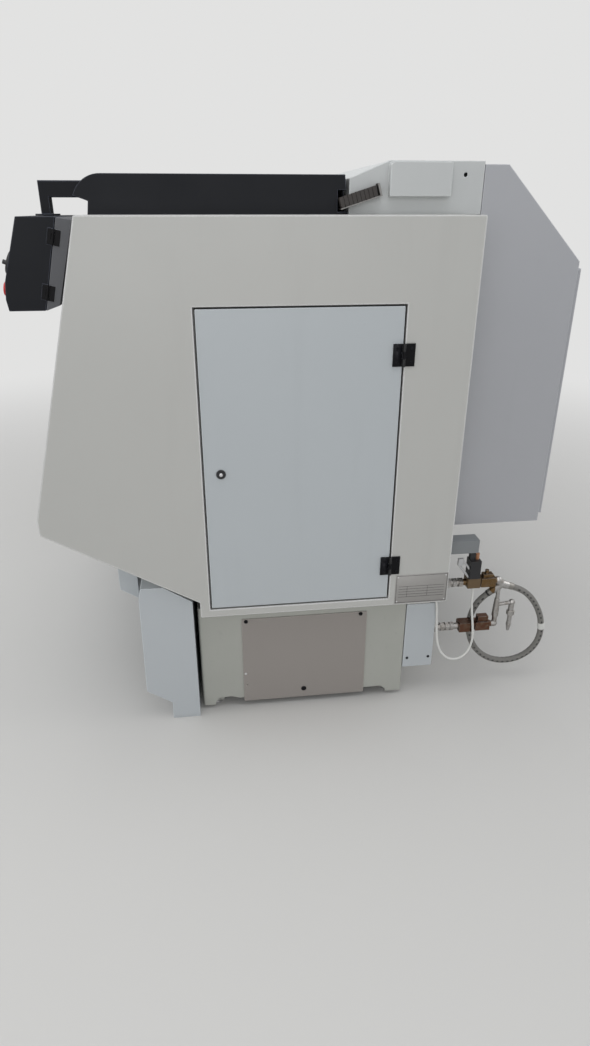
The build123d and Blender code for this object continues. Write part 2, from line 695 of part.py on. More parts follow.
with BuildPart() as x_ball_screw:
    with BuildSketch(x_screw_line.offset(SADDLE_T[0])) as screw_end:
        Circle(X_SCREW_RADIUS)
    extrude(screw_end.sketch, amount=X_SERVO_T[0] + 8 - SADDLE_T[0])
save(x_ball_screw, "x_ball_screw")

with BuildPart() as x_servo_motor:
    with BuildSketch(x_screw_line.offset(X_SERVO_T[0])) as flange:
        RectangleRounded(2 * X_SERVO_HALF, 2 * X_SERVO_HALF, 8)
    extrude(flange.sketch, amount=X_SERVO_T[1] - X_SERVO_T[0] - 26)
    with BuildSketch(x_screw_line.offset(X_SERVO_T[1] - 26)) as encoder:
        Circle(X_SERVO_HALF - 6)
    extrude(encoder.sketch, amount=26)
    with BuildSketch(x_screw_line.offset(X_SERVO_T[0] - 1)) as socket:
        Circle(X_SCREW_RADIUS + RUNNING_CLEARANCE)
    extrude(socket.sketch, amount=11, mode=Mode.SUBTRACT)
save(x_servo_motor, "x_servo_motor")


# Turret slide: the cross slide plate and the turret housing in one casting
SLIDE_X = (104, 296)
SLIDE_HALF_T = 120
SLIDE_N = (-186, -112)
HOUSING_X = (61, 300)
HOUSING_HALF = 92
TURRET_SHAFT = 40

with BuildPart() as turret_slide:
    disc_y, disc_z = bed_point(TURRET_T, 0)
    bed_block(SLIDE_X, (TURRET_T - SLIDE_HALF_T, TURRET_T + SLIDE_HALF_T), SLIDE_N)
    housing = [(-HOUSING_HALF, -HOUSING_HALF), (HOUSING_HALF, -HOUSING_HALF)]
    housing += [(HOUSING_HALF, HOUSING_HALF), (-HOUSING_HALF, HOUSING_HALF)]
    housing_points = [bed_point(TURRET_T + t, n) for t, n in housing]
    outline_x(housing_points, HOUSING_X[0], HOUSING_X[1], radius=24)
    bed_block((SLIDE_X[0] + 10, SLIDE_X[1] - 10), (TURRET_T - 80, TURRET_T + 80), (SLIDE_N[1], 0))
    turret_bore = TURRET_SHAFT + SLIDE_CLEARANCE
    round_x(disc_y, disc_z, turret_bore, HOUSING_X[0] - 1, HOUSING_X[0] + 70, mode=Mode.SUBTRACT)
    round_x(disc_y, disc_z, 74, HOUSING_X[1], HOUSING_X[1] + 60)
    whole_t = (TURRET_T - SLIDE_HALF_T - 1, TURRET_T + SLIDE_HALF_T + 1)
    for rail_x in (X_SCREW_X - X_RAIL_SPAN, X_SCREW_X + X_RAIL_SPAN):
        groove_half = X_RAIL_WIDTH / 2 + SLIDE_CLEARANCE
        bed_block(
            (rail_x - groove_half, rail_x + groove_half),
            whole_t,
            (SLIDE_N[0] - 1, X_RAIL_TOP + SLIDE_CLEARANCE),
            mode=Mode.SUBTRACT,
        )
    bed_block((X_SCREW_X - 20, X_SCREW_X + 20), whole_t, (SLIDE_N[0] - 1, -156), mode=Mode.SUBTRACT)
    bed_block((X_SCREW_X - 21, X_SCREW_X + 21), (TURRET_T - 28, TURRET_T + 28), (SLIDE_N[0], -150))
    with BuildSketch(x_screw_line.offset(TURRET_T - 60)) as nut_hole:
        Circle(X_SCREW_RADIUS + RUNNING_CLEARANCE)
    extrude(nut_hole.sketch, amount=120, mode=Mode.SUBTRACT)
save(turret_slide, "turret_slide")


# Turret disc: eight flats, with turning tools and boring bars in turn on their holders
HOLDER_HEIGHT = 38
SHANK = 20

with BuildPart() as turret_disc:
    flat_turn = BED_ANGLE + 180 / TURRET_STATIONS
    with BuildSketch(Plane.YZ.offset(TURRET_X[0])) as disc:
        with Locations((disc_y, disc_z)):
            RegularPolygon(
                radius=TURRET_FLATS / 2,
                side_count=TURRET_STATIONS,
                major_radius=False,
                rotation=flat_turn,
            )
    extrude(disc.sketch, amount=TURRET_X[1] - TURRET_X[0])
    round_x(disc_y, disc_z, 62, TURRET_X[0] - 12, TURRET_X[0])
    round_x(disc_y, disc_z, TURRET_SHAFT, TURRET_X[1], HOUSING_X[0] + 60)
    flat = TURRET_FLATS / 2
    for station in range(TURRET_STATIONS):
        # station zero points down the slope, at the spindle line
        a = BED_LEAN + radians(180 + station * 360 / TURRET_STATIONS)
        station_plane = Plane(
            origin=(0, disc_y, disc_z), x_dir=(1, 0, 0), z_dir=(0, -sin(a), cos(a))
        )
        with BuildSketch(station_plane) as holder:
            with Locations(((TURRET_X[0] + TURRET_X[1]) / 2 - 4, flat + HOLDER_HEIGHT / 2 - 1)):
                Rectangle(58, HOLDER_HEIGHT + 2)
        extrude(holder.sketch, amount=27, both=True)
        if station % 2 == 0:
            with BuildSketch(station_plane) as tool:
                with Locations((TURRET_X[0] - 3 + SHANK / 2, (flat + TOOL_REACH) / 2)):
                    Rectangle(SHANK, TOOL_REACH - flat)
            extrude(tool.sketch, amount=SHANK / 2, both=True)
        else:
            with BuildSketch(station_plane) as boring:
                with Locations((TURRET_X[0] - 20, flat + HOLDER_HEIGHT / 2)):
                    Rectangle(60, SHANK)
            extrude(boring.sketch, amount=SHANK / 2, both=True)
save(turret_disc, "turret_disc")


# Tailstock: body on the lower rails, quill and rotating centre
TAIL_BASE_T = (-190, 22)
TAIL_BASE_N = (-252, -190)
BORE_DEPTH = 190

with BuildPart() as tailstock_body:
    bed_block(TAIL_X, TAIL_BASE_T, TAIL_BASE_N)
    column = [(-120, TAIL_BASE_N[1]), (22, TAIL_BASE_N[1]), (26, -60), (20, 0), (-45, 0), (-80, -60)]
    outline_x([bed_point(t, n) for t, n in column], TAIL_X[0] + 15, TAIL_X[1] - 15)
    round_x(SPINDLE_Y, SPINDLE_Z, BARREL_RADIUS, TAIL_X[0], TAIL_X[1])
    round_x(
        SPINDLE_Y,
        SPINDLE_Z,
        QUILL_RADIUS + RUNNING_CLEARANCE,
        TAIL_X[0] - 1,
        TAIL_X[0] + BORE_DEPTH,
        mode=Mode.SUBTRACT,
    )
    for rail_t in TAILSTOCK_RAILS:
        rail_half = RAIL_WIDTH / 2 + SLIDE_CLEARANCE
        bed_block(
            (TAIL_X[0] - 1, TAIL_X[1] + 1),
            (rail_t - rail_half, rail_t + rail_half),
            (TAIL_BASE_N[0] - 1, RAIL_TOP + SLIDE_CLEARANCE),
            mode=Mode.SUBTRACT,
        )
save(tailstock_body, "tailstock_body")

QUILL_X = (400, 600)

with BuildPart() as tailstock_quill:
    round_x(SPINDLE_Y, SPINDLE_Z, QUILL_RADIUS, QUILL_X[0], QUILL_X[1])
    chamfer(tailstock_quill.edges().sort_by(Axis.X)[0], 2)
    round_x(
        SPINDLE_Y,
        SPINDLE_Z,
        CENTRE_SHANK + RUNNING_CLEARANCE,
        QUILL_X[0] - 1,
        QUILL_X[0] + 62,
        mode=Mode.SUBTRACT,
    )
save(tailstock_quill, "tailstock_quill")

with BuildPart() as live_centre:
    centre = [(CENTRE_TIP_X, 0), (CENTRE_TIP_X + 30, 17), (CENTRE_TIP_X + 36, 17)]
    centre += [(CENTRE_TIP_X + 36, 25), (QUILL_X[0] - 1, 25), (QUILL_X[0] - 1, CENTRE_SHANK)]
    centre += [(QUILL_X[0] + 60, CENTRE_SHANK), (QUILL_X[0] + 60, 0)]
    turned(centre, SPINDLE_Y, SPINDLE_Z)
save(live_centre, "live_centre")


# Telescopic way covers over the saddle rails: each plate is a folded channel, and each of
# the three layers slides over the one below it
COVER_T = (45, 325)
COVER_CROWN = -208
FIXED_LAYER = 0
MIDDLE_LAYER = 1
SADDLE_LAYER = 2
LEFT_MIDDLE_X = -239
RIGHT_MIDDLE_X = 417.5


def way_cover(layer, x_from, x_to):
    """One folded channel plate of the way covers, open towards the rails."""
    step = layer * (SHEET + SLIDE_CLEARANCE)
    low = COVER_T[0] - step
    high = COVER_T[1] + step
    crown = COVER_CROWN + step
    path = [(low, COVER_SKIRT_N), (low, crown), (high, crown), (high, COVER_SKIRT_N)]
    outline_x(folded([bed_point(t, n) for t, n in path], -SHEET), x_from, x_to)


with BuildPart() as way_cover_left_middle:
    way_cover(MIDDLE_LAYER, LEFT_MIDDLE_X, LEFT_MIDDLE_X + COVER_LEFT_LENGTH)
save(way_cover_left_middle, "way_cover_left_middle")

with BuildPart() as way_cover_right_middle:
    way_cover(MIDDLE_LAYER, RIGHT_MIDDLE_X, RIGHT_MIDDLE_X + COVER_RIGHT_LENGTH)
save(way_cover_right_middle, "way_cover_right_middle")

with BuildPart() as way_covers_saddle:
    way_cover(SADDLE_LAYER, SADDLE_X[0] - COVER_LEFT_LENGTH, SADDLE_X[0])
    way_cover(SADDLE_LAYER, SADDLE_X[1], SADDLE_X[1] + COVER_RIGHT_LENGTH)
save(way_covers_saddle, "way_covers_saddle")


# Right end cover: a deep folded pan with the opening for the access door
JAMB_DEPTH = 32
JAMB_LIP = 14

with BuildPart() as right_end_cover:
    section_x(0, RIGHT_JOINT, RIGHT_FACE)
    section_x(SHEET, RIGHT_JOINT - 1, RIGHT_FACE - SHEET, mode=Mode.SUBTRACT)
    open_y = (DOOR_Y[0] - DOOR_GAP, DOOR_Y[1] + DOOR_GAP)
    open_z = (DOOR_Z[0] - DOOR_GAP, DOOR_Z[1] + DOOR_GAP)
    jamb_x = (RIGHT_FACE - JAMB_DEPTH, RIGHT_FACE - SHEET)
    block(
        jamb_x,
        (open_y[0] - SHEET, open_y[1] + SHEET),
        (open_z[0] - SHEET, open_z[1] + SHEET),
    )
    block(
        (jamb_x[0] - 1, jamb_x[0] + SHEET + 1),
        (open_y[0] + JAMB_LIP, open_y[1] - JAMB_LIP),
        (open_z[0] + JAMB_LIP, open_z[1] - JAMB_LIP),
        mode=Mode.SUBTRACT,
    )
    block((jamb_x[0] + SHEET, RIGHT_FACE + 1), open_y, open_z, mode=Mode.SUBTRACT)
save(right_end_cover, "right_end_cover")


# Access door: a pan of folded sheet, set a little back in its opening
LEAF = 4
HINGE_Y = DOOR_Y[1] + DOOR_GAP / 2
BARREL = 5
PIN = 2.5
KNUCKLE = 11


def knuckle(x, y, z_from, z_to, radius, mode=Mode.ADD):
    """A hinge knuckle, pin or bore along Z."""
    with BuildSketch(Plane.XY.offset(z_from)) as ring:
        with Locations((x, y)):
            Circle(radius)
    extrude(ring.sketch, amount=z_to - z_from, mode=mode)


with BuildPart() as access_door:
    door_face = RIGHT_FACE - DOOR_RECESS
    block((door_face - DOOR_DEPTH, door_face), DOOR_Y, DOOR_Z)
    fillet(access_door.edges().filter_by(Axis.X), 3)
    fillet(access_door.faces().sort_by(Axis.X)[-1].edges(), 1)
    block(
        (door_face - DOOR_DEPTH - 1, door_face - SHEET),
        (DOOR_Y[0] + SHEET, DOOR_Y[1] - SHEET),
        (DOOR_Z[0] + SHEET, DOOR_Z[1] - SHEET),
        mode=Mode.SUBTRACT,
    )
    # stiffening channel across the middle
    block(
        (door_face - 12, door_face - SHEET),
        (DOOR_Y[0] + 40, DOOR_Y[1] - 40),
        (DOOR_Z[1] - 330, DOOR_Z[1] - 290),
    )
    with BuildSketch(Plane.YZ.offset(door_face - SHEET - 1)) as lock_hole:
        with Locations((LOCK_Y, LOCK_Z)):
            Circle(LOCK_DIAMETER / 2 - 4)
    extrude(lock_hole.sketch, amount=SHEET + 2, mode=Mode.SUBTRACT)
    # the door's hinge leaves, each with an upper and a lower knuckle
    for height in HINGE_HEIGHTS:
        low = height - HINGE_SIZE / 2
        high = height + HINGE_SIZE / 2
        block((door_face, RIGHT_FACE + LEAF), (HINGE_Y - HINGE_SIZE / 2, HINGE_Y - BARREL - 1), (low, high))
        for z_from, z_to in ((low, height - KNUCKLE), (height + KNUCKLE, high)):
            knuckle(RIGHT_FACE + LEAF + 2, HINGE_Y, z_from, z_to, BARREL)
            block(
                (RIGHT_FACE, RIGHT_FACE + LEAF),
                (HINGE_Y - BARREL - 1, HINGE_Y - PIN - RUNNING_CLEARANCE),
                (z_from, z_to),
            )
            knuckle(
                RIGHT_FACE + LEAF + 2,
                HINGE_Y,
                z_from,
                z_to,
                PIN + RUNNING_CLEARANCE,
                mode=Mode.SUBTRACT,
            )
save(access_door, "access_door")


# Hinges of the access door: the leaves on the cover, the middle knuckles and the pins
with BuildPart() as access_door_hinges:
    for height in HINGE_HEIGHTS:
        low = height - HINGE_SIZE / 2
        high = height + HINGE_SIZE / 2
        block((RIGHT_FACE, RIGHT_FACE + LEAF), (HINGE_Y + BARREL + 1, HINGE_Y + HINGE_SIZE / 2), (low, high))
        middle = (height - KNUCKLE + SLIDE_CLEARANCE, height + KNUCKLE - SLIDE_CLEARANCE)
        block((RIGHT_FACE, RIGHT_FACE + LEAF), (HINGE_Y, HINGE_Y + BARREL + 1), middle)
        knuckle(RIGHT_FACE + LEAF + 2, HINGE_Y, middle[0], middle[1], BARREL)
        knuckle(RIGHT_FACE + LEAF + 2, HINGE_Y, low, high, PIN)
save(access_door_hinges, "access_door_hinges")


# Quarter turn lock of the access door: ring, insert, shank and the cam behind the jamb
LOCK_REACH = 38

with BuildPart() as access_door_lock:
    round_x(LOCK_Y, LOCK_Z, LOCK_DIAMETER / 2, door_face, door_face + 3)
    round_x(LOCK_Y, LOCK_Z, 7, door_face, door_face + 5)
    round_x(LOCK_Y, LOCK_Z, LOCK_DIAMETER / 2 - 4 - SLIDE_CLEARANCE, door_face - LOCK_REACH, door_face)
    block(
        (door_face - LOCK_REACH, door_face - LOCK_REACH + 4),
        (LOCK_Y - 9, LOCK_Y + 9),
        (LOCK_Z - 48, LOCK_Z),
    )
save(access_door_lock, "access_door_lock")


# Left end cover: a shallow pan with the bar hole and cooling slots
BAR_HOLE = 45
LOUVRE_ROWS = 9

with BuildPart() as left_end_cover:
    section_x(0, LEFT_FACE, LEFT_JOINT)
    section_x(SHEET, LEFT_FACE + SHEET, LEFT_JOINT + 1, mode=Mode.SUBTRACT)
    round_x(SPINDLE_Y, SPINDLE_Z, BAR_HOLE, LEFT_FACE - 1, LEFT_FACE + SHEET + 1, mode=Mode.SUBTRACT)
    with BuildSketch(Plane.YZ.offset(LEFT_FACE - 1)) as slots:
        with Locations((120, 620)):
            with GridLocations(0, 22, 1, LOUVRE_ROWS):
                SlotOverall(220, 8)
    extrude(slots.sketch, amount=SHEET + 2, mode=Mode.SUBTRACT)
save(left_end_cover, "left_end_cover")


# Bulkheads: the sheets that close the work cabin to the left and the right
LEFT_BULKHEAD_X = (-345, -342)
RIGHT_BULKHEAD_X = (RIGHT_JOINT, RIGHT_JOINT + SHEET)

with BuildPart() as bulkheads:
    cabin = [front_point(20, PANEL_W), front_point(850, PANEL_W)]
    cabin += [(REAR_Y - SHEET, TOP_Z - SHEET), (REAR_Y - SHEET, UNDERSIDE_Z + SHEET)]
    cabin += [(STEP_Y + 8, UNDERSIDE_Z + 4), (STEP_Y + 8, STEP_Z + 8)]
    cabin += [(NOSE_Y + 80, NOSE_BOTTOM - 28)]
    outline_x(cabin, *LEFT_BULKHEAD_X)
    clear_bed = [(-BED_FOOT_Y - 3, 400), (BED_FOOT_Y + 3, 400), (BED_FOOT_Y + 3, 562), (333, 902)]
    clear_bed += [(252, high_edge[1] + 3), bed_point(340, BED_FACE + 3), bed_point(340, -209)]
    clear_bed += [bed_point(-205, -209), bed_point(-205, BED_FACE), (-265, 652), (-265, 603)]
    clear_bed += [(-BED_FOOT_Y - 3, 603)]
    outline_x(clear_bed, LEFT_BULKHEAD_X[0] - 1, LEFT_BULKHEAD_X[1] + 1, mode=Mode.SUBTRACT)
    round_x(
        SPINDLE_Y,
        SPINDLE_Z,
        NOSE_RADIUS + 12,
        LEFT_BULKHEAD_X[0] - 1,
        LEFT_BULKHEAD_X[1] + 1,
        mode=Mode.SUBTRACT,
    )
    section_x(SHEET, *RIGHT_BULKHEAD_X)
    round_x(screw_y, screw_z, 28, RIGHT_BULKHEAD_X[0] - 1, RIGHT_BULKHEAD_X[1] + 1, mode=Mode.SUBTRACT)
    # the outer, standing plates of the way covers
    way_cover(FIXED_LAYER, LEFT_BULKHEAD_X[0], COVER_FIXED_LEFT_END)
    way_cover(FIXED_LAYER, COVER_FIXED_RIGHT_END, RIGHT_BULKHEAD_X[0] + 1)
save(bulkheads, "bulkheads")


# Front sill: shelf, nose and sloping underside in one sheet, with the drip rail below
SILL_X = (LEFT_JOINT, RIGHT_JOINT)
DRIP_Y = (-629, -567)
DRIP_Z = (450, 414)
CHUTE_X = (-280, 560)


def underside_z(y):
    """Height of the sloping underside at a place across the machine."""
    rise = (NOSE_BOTTOM - STEP_Z) / (NOSE_Y - STEP_Y)
    return STEP_Z + (y - STEP_Y) * rise


with BuildPart() as front_sill:
    shelf_v = -(PANEL_W + 2 * SHEET) * tan(FRONT_LEAN)
    lip = front_point(60, PANEL_W + 2 * SHEET)
    sill_path = [lip, front_point(shelf_v, PANEL_W + 2 * SHEET), (NOSE_Y, NOSE_TOP)]
    sill_path += [(NOSE_Y, NOSE_BOTTOM), (STEP_Y, STEP_Z), (STEP_Y, UNDERSIDE_Z)]
    outline_x(folded(sill_path, SHEET), *SILL_X)
    # low fence that guides the foot of the sliding door
    front_block(SILL_X, (7, 32), (-40, -35))
    root = SHEET / 2
    drip_path = [(DRIP_Y[0], underside_z(DRIP_Y[0]) + root), (DRIP_Y[0], DRIP_Z[0]), (-573, DRIP_Z[1])]
    drip_path += [(DRIP_Y[1], DRIP_Z[1]), (DRIP_Y[1], underside_z(DRIP_Y[1]) + root)]
    outline_x(folded(drip_path, SHEET), *SILL_X)
    outline_x(drip_path, SILL_X[1] - SHEET, SILL_X[1])
    chute_y = (-520, -420)
    chute = [(chute_y[0], underside_z(chute_y[0]) - 20), (chute_y[1], underside_z(chute_y[1]) - 20)]
    chute += [(chute_y[1], underside_z(chute_y[1]) + 20), (chute_y[0], underside_z(chute_y[0]) + 20)]
    outline_x(chute, *CHUTE_X, mode=Mode.SUBTRACT)
save(front_sill, "front_sill")


# Fixed front panels on both sides of the door opening, under one header angle
HEADER_Y = (-524, -470)

with BuildPart() as front_fixed_panels:
    panel_v = (shelf_v + 3, 872)
    for panel_x in ((LEFT_JOINT, -OPENING_HALF), (OPENING_HALF, RIGHT_JOINT)):
        front_block(panel_x, panel_v, (PANEL_W, PANEL_W + SHEET))
    front_block((LEFT_JOINT, RIGHT_JOINT), (835, panel_v[1]), (PANEL_W, PANEL_W + SHEET))
    block((LEFT_JOINT, RIGHT_JOINT), (HEADER_Y[0] - 6, HEADER_Y[1]), (TOP_Z - SHEET - 4, TOP_Z))
    block((LEFT_JOINT, RIGHT_JOINT), HEADER_Y, (TOP_Z - SHEET - 5, TOP_Z - SHEET), mode=Mode.SUBTRACT)
    for edge_x in ((-OPENING_HALF - SHEET, -OPENING_HALF), (OPENING_HALF, OPENING_HALF + SHEET)):
        front_block(edge_x, panel_v, (PANEL_W - 25, PANEL_W + SHEET))
    # spacers that carry the door rail
    for spacer_x in (-1000, -700, -350, 330, 680):
        front_block((spacer_x, spacer_x + 30), (RAIL_V[0], RAIL_V[0] + 8), (PANEL_W + SHEET, RAIL_W[0]))
    # the rail that the sliding door hangs on
    front_block((LEFT_JOINT + 5, RIGHT_JOINT - 5), RAIL_V, RAIL_W)
save(front_fixed_panels, "front_fixed_panels")


# Sliding front door: a pan with its window opening, two hanger shoes and a bow handle
HANGER_X = 250
HANDLE_X = 300
HANDLE_V = (330, 560)
HANDLE_W = 38

with BuildPart() as sliding_door:
    front_block((-DOOR_HALF, DOOR_HALF), DOOR_V, DOOR_W)
    front_block(
        (-DOOR_HALF + SHEET, DOOR_HALF - SHEET),
        (DOOR_V[0] + SHEET, DOOR_V[1] - SHEET),
        (DOOR_W[0] - 1, DOOR_W[1] - SHEET),
        mode=Mode.SUBTRACT,
    )
    # inner frame round the window
    front_block((-WINDOW_HALF - 24, WINDOW_HALF + 24), (WINDOW_V[0] - 24, WINDOW_V[1] + 24), (-22, DOOR_W[1]))
    front_block(
        (-WINDOW_HALF - 18, WINDOW_HALF + 18),
        (WINDOW_V[0] - 18, WINDOW_V[1] + 18),
        (-23, -8),
        mode=Mode.SUBTRACT,
    )
    front_block((-WINDOW_HALF, WINDOW_HALF), WINDOW_V, (-9, 0), mode=Mode.SUBTRACT)
    for hanger_x in (-HANGER_X, HANGER_X):
        front_block((hanger_x - 30, hanger_x + 30), (DOOR_V[1] - 60, 886), (DOOR_W[0] - 4, DOOR_W[0]))
        front_block((hanger_x - 30, hanger_x + 30), (862, 886), (-56, DOOR_W[0] - 4))
        front_block(
            (hanger_x - 31, hanger_x + 31),
            (861, RAIL_V[1] + SLIDE_CLEARANCE),
            (RAIL_W[0] - SLIDE_CLEARANCE, RAIL_W[1] + SLIDE_CLEARANCE),
            mode=Mode.SUBTRACT,
        )
        front_block(
            (hanger_x - 30, hanger_x + 30),
            (DOOR_V[1] - 60, DOOR_V[1] - 40),
            (DOOR_W[0] - 4, DOOR_W[1] - 1),
        )
    handle_plane = Plane(
        origin=(HANDLE_X, *front_point(0, DOOR_W[1])),
        x_dir=(0, sin(FRONT_LEAN), cos(FRONT_LEAN)),
        z_dir=(1, 0, 0),
    )
    with BuildLine(handle_plane) as grip_line:
        FilletPolyline(
            (HANDLE_V[0], -1),
            (HANDLE_V[0], -HANDLE_W),
            (HANDLE_V[1], -HANDLE_W),
            (HANDLE_V[1], -1),
            radius=22,
        )
    grip_start = Plane(origin=grip_line.line @ 0, z_dir=grip_line.line % 0)
    with BuildSketch(grip_start) as grip_section:
        Circle(9)
    sweep(grip_section.sketch, path=grip_line.line)
save(sliding_door, "sliding_door")

with BuildPart() as door_window:
    front_block((-WINDOW_HALF - 17, WINDOW_HALF + 17), (WINDOW_V[0] - 17, WINDOW_V[1] + 17), (-14, -8))
save(door_window, "door_window")


# Rear wall between the two end covers
with BuildPart() as rear_wall:
    wall_path = [(REAR_Y - 20, TOP_Z), (REAR_Y, TOP_Z)]
    wall_path += [(REAR_Y, UNDERSIDE_Z), (REAR_Y - 20, UNDERSIDE_Z)]
    outline_x(folded(wall_path, -SHEET), LEFT_JOINT, RIGHT_JOINT)
save(rear_wall, "rear_wall")


# Coolant tank in front of the base, with its toe recess and open chip inlet
TANK_SHEET = 3

with BuildPart() as coolant_tank:
    tank_end = [(TANK_FRONT_Y + 6, 501), (TANK_FRONT_Y + 15, TANK_TOP), (-469, TANK_TOP), (TANK_BACK_Y, 474)]
    tank_end += [(TANK_BACK_Y, 0), (TANK_TOE_Y, 0), (TANK_TOE_Y + 1, 69), (TANK_FRONT_Y, 126)]
    outline_x(tank_end, *TANK_X)
    inside = [(TANK_FRONT_Y + 9, 498), (TANK_FRONT_Y + 17, TANK_TOP - 3), (-470, TANK_TOP - 3)]
    inside += [(TANK_BACK_Y - 3, 472), (TANK_BACK_Y - 3, 3), (TANK_TOE_Y + 3, 3)]
    inside += [(TANK_TOE_Y + 4, 71), (TANK_FRONT_Y + 3, 128)]
    outline_x(inside, TANK_X[0] + TANK_SHEET, TANK_X[1] - TANK_SHEET, mode=Mode.SUBTRACT)
    block(
        (CHUTE_X[0] - 20, CHUTE_X[1] + 20),
        (-530, -395),
        (440, TANK_TOP + 1),
        mode=Mode.SUBTRACT,
    )
    # stops on the back meet the base
    for stop_x in (-500, 300):
        block((stop_x, stop_x + 40), (TANK_BACK_Y, -BASE_WIDTH / 2), (200, 240))
save(coolant_tank, "coolant_tank")


# Dark top hood with its rolled front edge
ARC_START_Y = -546
HOOD_LIP = (-587, 1669)
HOOD_LOW_Y = -592
NOTCH_Y = (104, HOOD_REAR_Y)
NOTCH_Z = (1642, 1698)


def hood_section(t):
    """Sketch of the hood's section, moved inward by t."""
    with BuildSketch(Plane.YZ) as section:
        with BuildLine():
            top = Line((HOOD_REAR_Y - 10, HOOD_TOP), (ARC_START_Y, HOOD_TOP))
            nose = ThreePointArc(top @ 1, (-601, 1718), (HOOD_FRONT_Y, 1683))
            Polyline(
                nose @ 1,
                HOOD_LIP,
                (HOOD_LOW_Y, HOOD_UNDERSIDE),
                (HOOD_REAR_Y, HOOD_UNDERSIDE),
                (HOOD_REAR_Y - 10, HOOD_TOP),
            )
        make_face()
        if t:
            offset(amount=-t, kind=Kind.INTERSECTION, mode=Mode.REPLACE)
    return section.sketch


with BuildPart() as top_hood:
    extrude(hood_section(0).moved(Location((LEFT_JOINT, 0, 0))), amount=RIGHT_JOINT - LEFT_JOINT)
    extrude(
        hood_section(SHEET).moved(Location((LEFT_JOINT + SHEET, 0, 0))),
        amount=RIGHT_JOINT - LEFT_JOINT - 2 * SHEET,
        mode=Mode.SUBTRACT,
    )
    block(
        (LEFT_JOINT + SHEET, RIGHT_JOINT - SHEET),
        (HOOD_LOW_Y + SHEET + 1, HOOD_REAR_Y - SHEET - 1),
        (HOOD_UNDERSIDE - 1, HOOD_UNDERSIDE + SHEET + 1),
        mode=Mode.SUBTRACT,
    )
    block((RIGHT_JOINT - 40, RIGHT_JOINT + 1), (NOTCH_Y[0], NOTCH_Y[1] + 1), NOTCH_Z, mode=Mode.SUBTRACT)
    block(
        (ARM_X - ARM_WIDTH / 2, ARM_X + ARM_WIDTH / 2),
        (HOOD_FRONT_Y - 5, HOOD_LOW_Y + 30),
        ARM_Z,
        mode=Mode.SUBTRACT,
    )
save(top_hood, "top_hood")


# Roof housing behind the hood, with its sloping front
with BuildPart() as roof_housing:
    roof_path = [(HOOD_REAR_Y + 3, HOOD_UNDERSIDE), (HOOD_REAR_Y + 3, 1728), (251, ROOF_TOP)]
    roof_path += [(ROOF_REAR_Y, ROOF_TOP), (ROOF_REAR_Y, HOOD_UNDERSIDE), (REAR_Y - 20, HOOD_UNDERSIDE)]
    outline_x(folded(roof_path, -SHEET), LEFT_JOINT, RIGHT_JOINT)
    for end_x in (LEFT_JOINT, RIGHT_JOINT - SHEET):
        outline_x(roof_path[:5], end_x, end_x + SHEET)
    round_x(474, 1738, 6, RIGHT_JOINT - SHEET - 1, RIGHT_JOINT + 1, mode=Mode.SUBTRACT)
    # junction box on the right end, with one rounded corner
    with BuildSketch(Plane.YZ.offset(RIGHT_JOINT)) as box_face:
        with Locations(((BOX_Y[0] + BOX_Y[1]) / 2, (BOX_Z[0] + BOX_Z[1]) / 2)):
            Rectangle(BOX_Y[1] - BOX_Y[0], BOX_Z[1] - BOX_Z[0])
        fillet(box_face.vertices().group_by(Axis.Y)[-1].sort_by(Axis.Z)[0], 12)
    extrude(box_face.sketch, amount=BOX_DEPTH)
save(roof_housing, "roof_housing")


# Cable chain on its sloped tray, from the hood's notch to its post
CHAIN_START = (108, 1664)
CHAIN_END = (212, 1696)
CHAIN_X = (RIGHT_JOINT, RIGHT_JOINT + 24)
CHAIN_HEIGHT = 28
LINKS = 9

with BuildPart() as cable_chain:
    run_y = CHAIN_END[0] - CHAIN_START[0]
    run_z = CHAIN_END[1] - CHAIN_START[1]
    slope = atan2(run_z, run_y)
    pitch = hypot(run_y, run_z) / LINKS
    chain_plane = Plane(
        origin=(CHAIN_X[0], *CHAIN_START), x_dir=(0, cos(slope), sin(slope)), z_dir=(1, 0, 0)
    )
    with BuildSketch(chain_plane) as links:
        for number in range(LINKS):
            with Locations(((number + 0.5) * pitch, 0)):
                RectangleRounded(pitch - 1.2, CHAIN_HEIGHT, 2)
    extrude(links.sketch, amount=CHAIN_X[1] - CHAIN_X[0])
    with BuildSketch(chain_plane.offset(3)) as pins:
        with Locations((LINKS * pitch / 2, 0)):
            Rectangle(LINKS * pitch, CHAIN_HEIGHT - 8)
    extrude(pins.sketch, amount=CHAIN_X[1] - CHAIN_X[0] - 6)
    with BuildSketch(chain_plane) as tray:
        with Locations((LINKS * pitch / 2 + 4, -CHAIN_HEIGHT / 2 - 1.5)):
            Rectangle(LINKS * pitch + 14, 3)
        with Locations((LINKS * pitch + 8, 0)):
            Rectangle(5, CHAIN_HEIGHT + 6)
    extrude(tray.sketch, amount=CHAIN_X[1] - CHAIN_X[0] + 4)
save(cable_chain, "cable_chain")


# Electrical cabinet at the rear: shell, standoffs and the mounting plate with its devices
DOOR_PIN_X = CABINET_DOOR_X[0] - 8
DOOR_PIN_Y = CABINET_Y[1] + 9
DOOR_PIN_HEIGHTS = (780, 1354)
CABINET_SECTION = [
    (CABINET_Y[0], CABINET_BOTTOM),
    (CABINET_Y[0], CABINET_TOP),
    (CABINET_CHAMFER_Y, CABINET_TOP),
    (CABINET_Y[1], CABINET_CHAMFER_Z),
    (CABINET_Y[1], CABINET_BOTTOM),
]

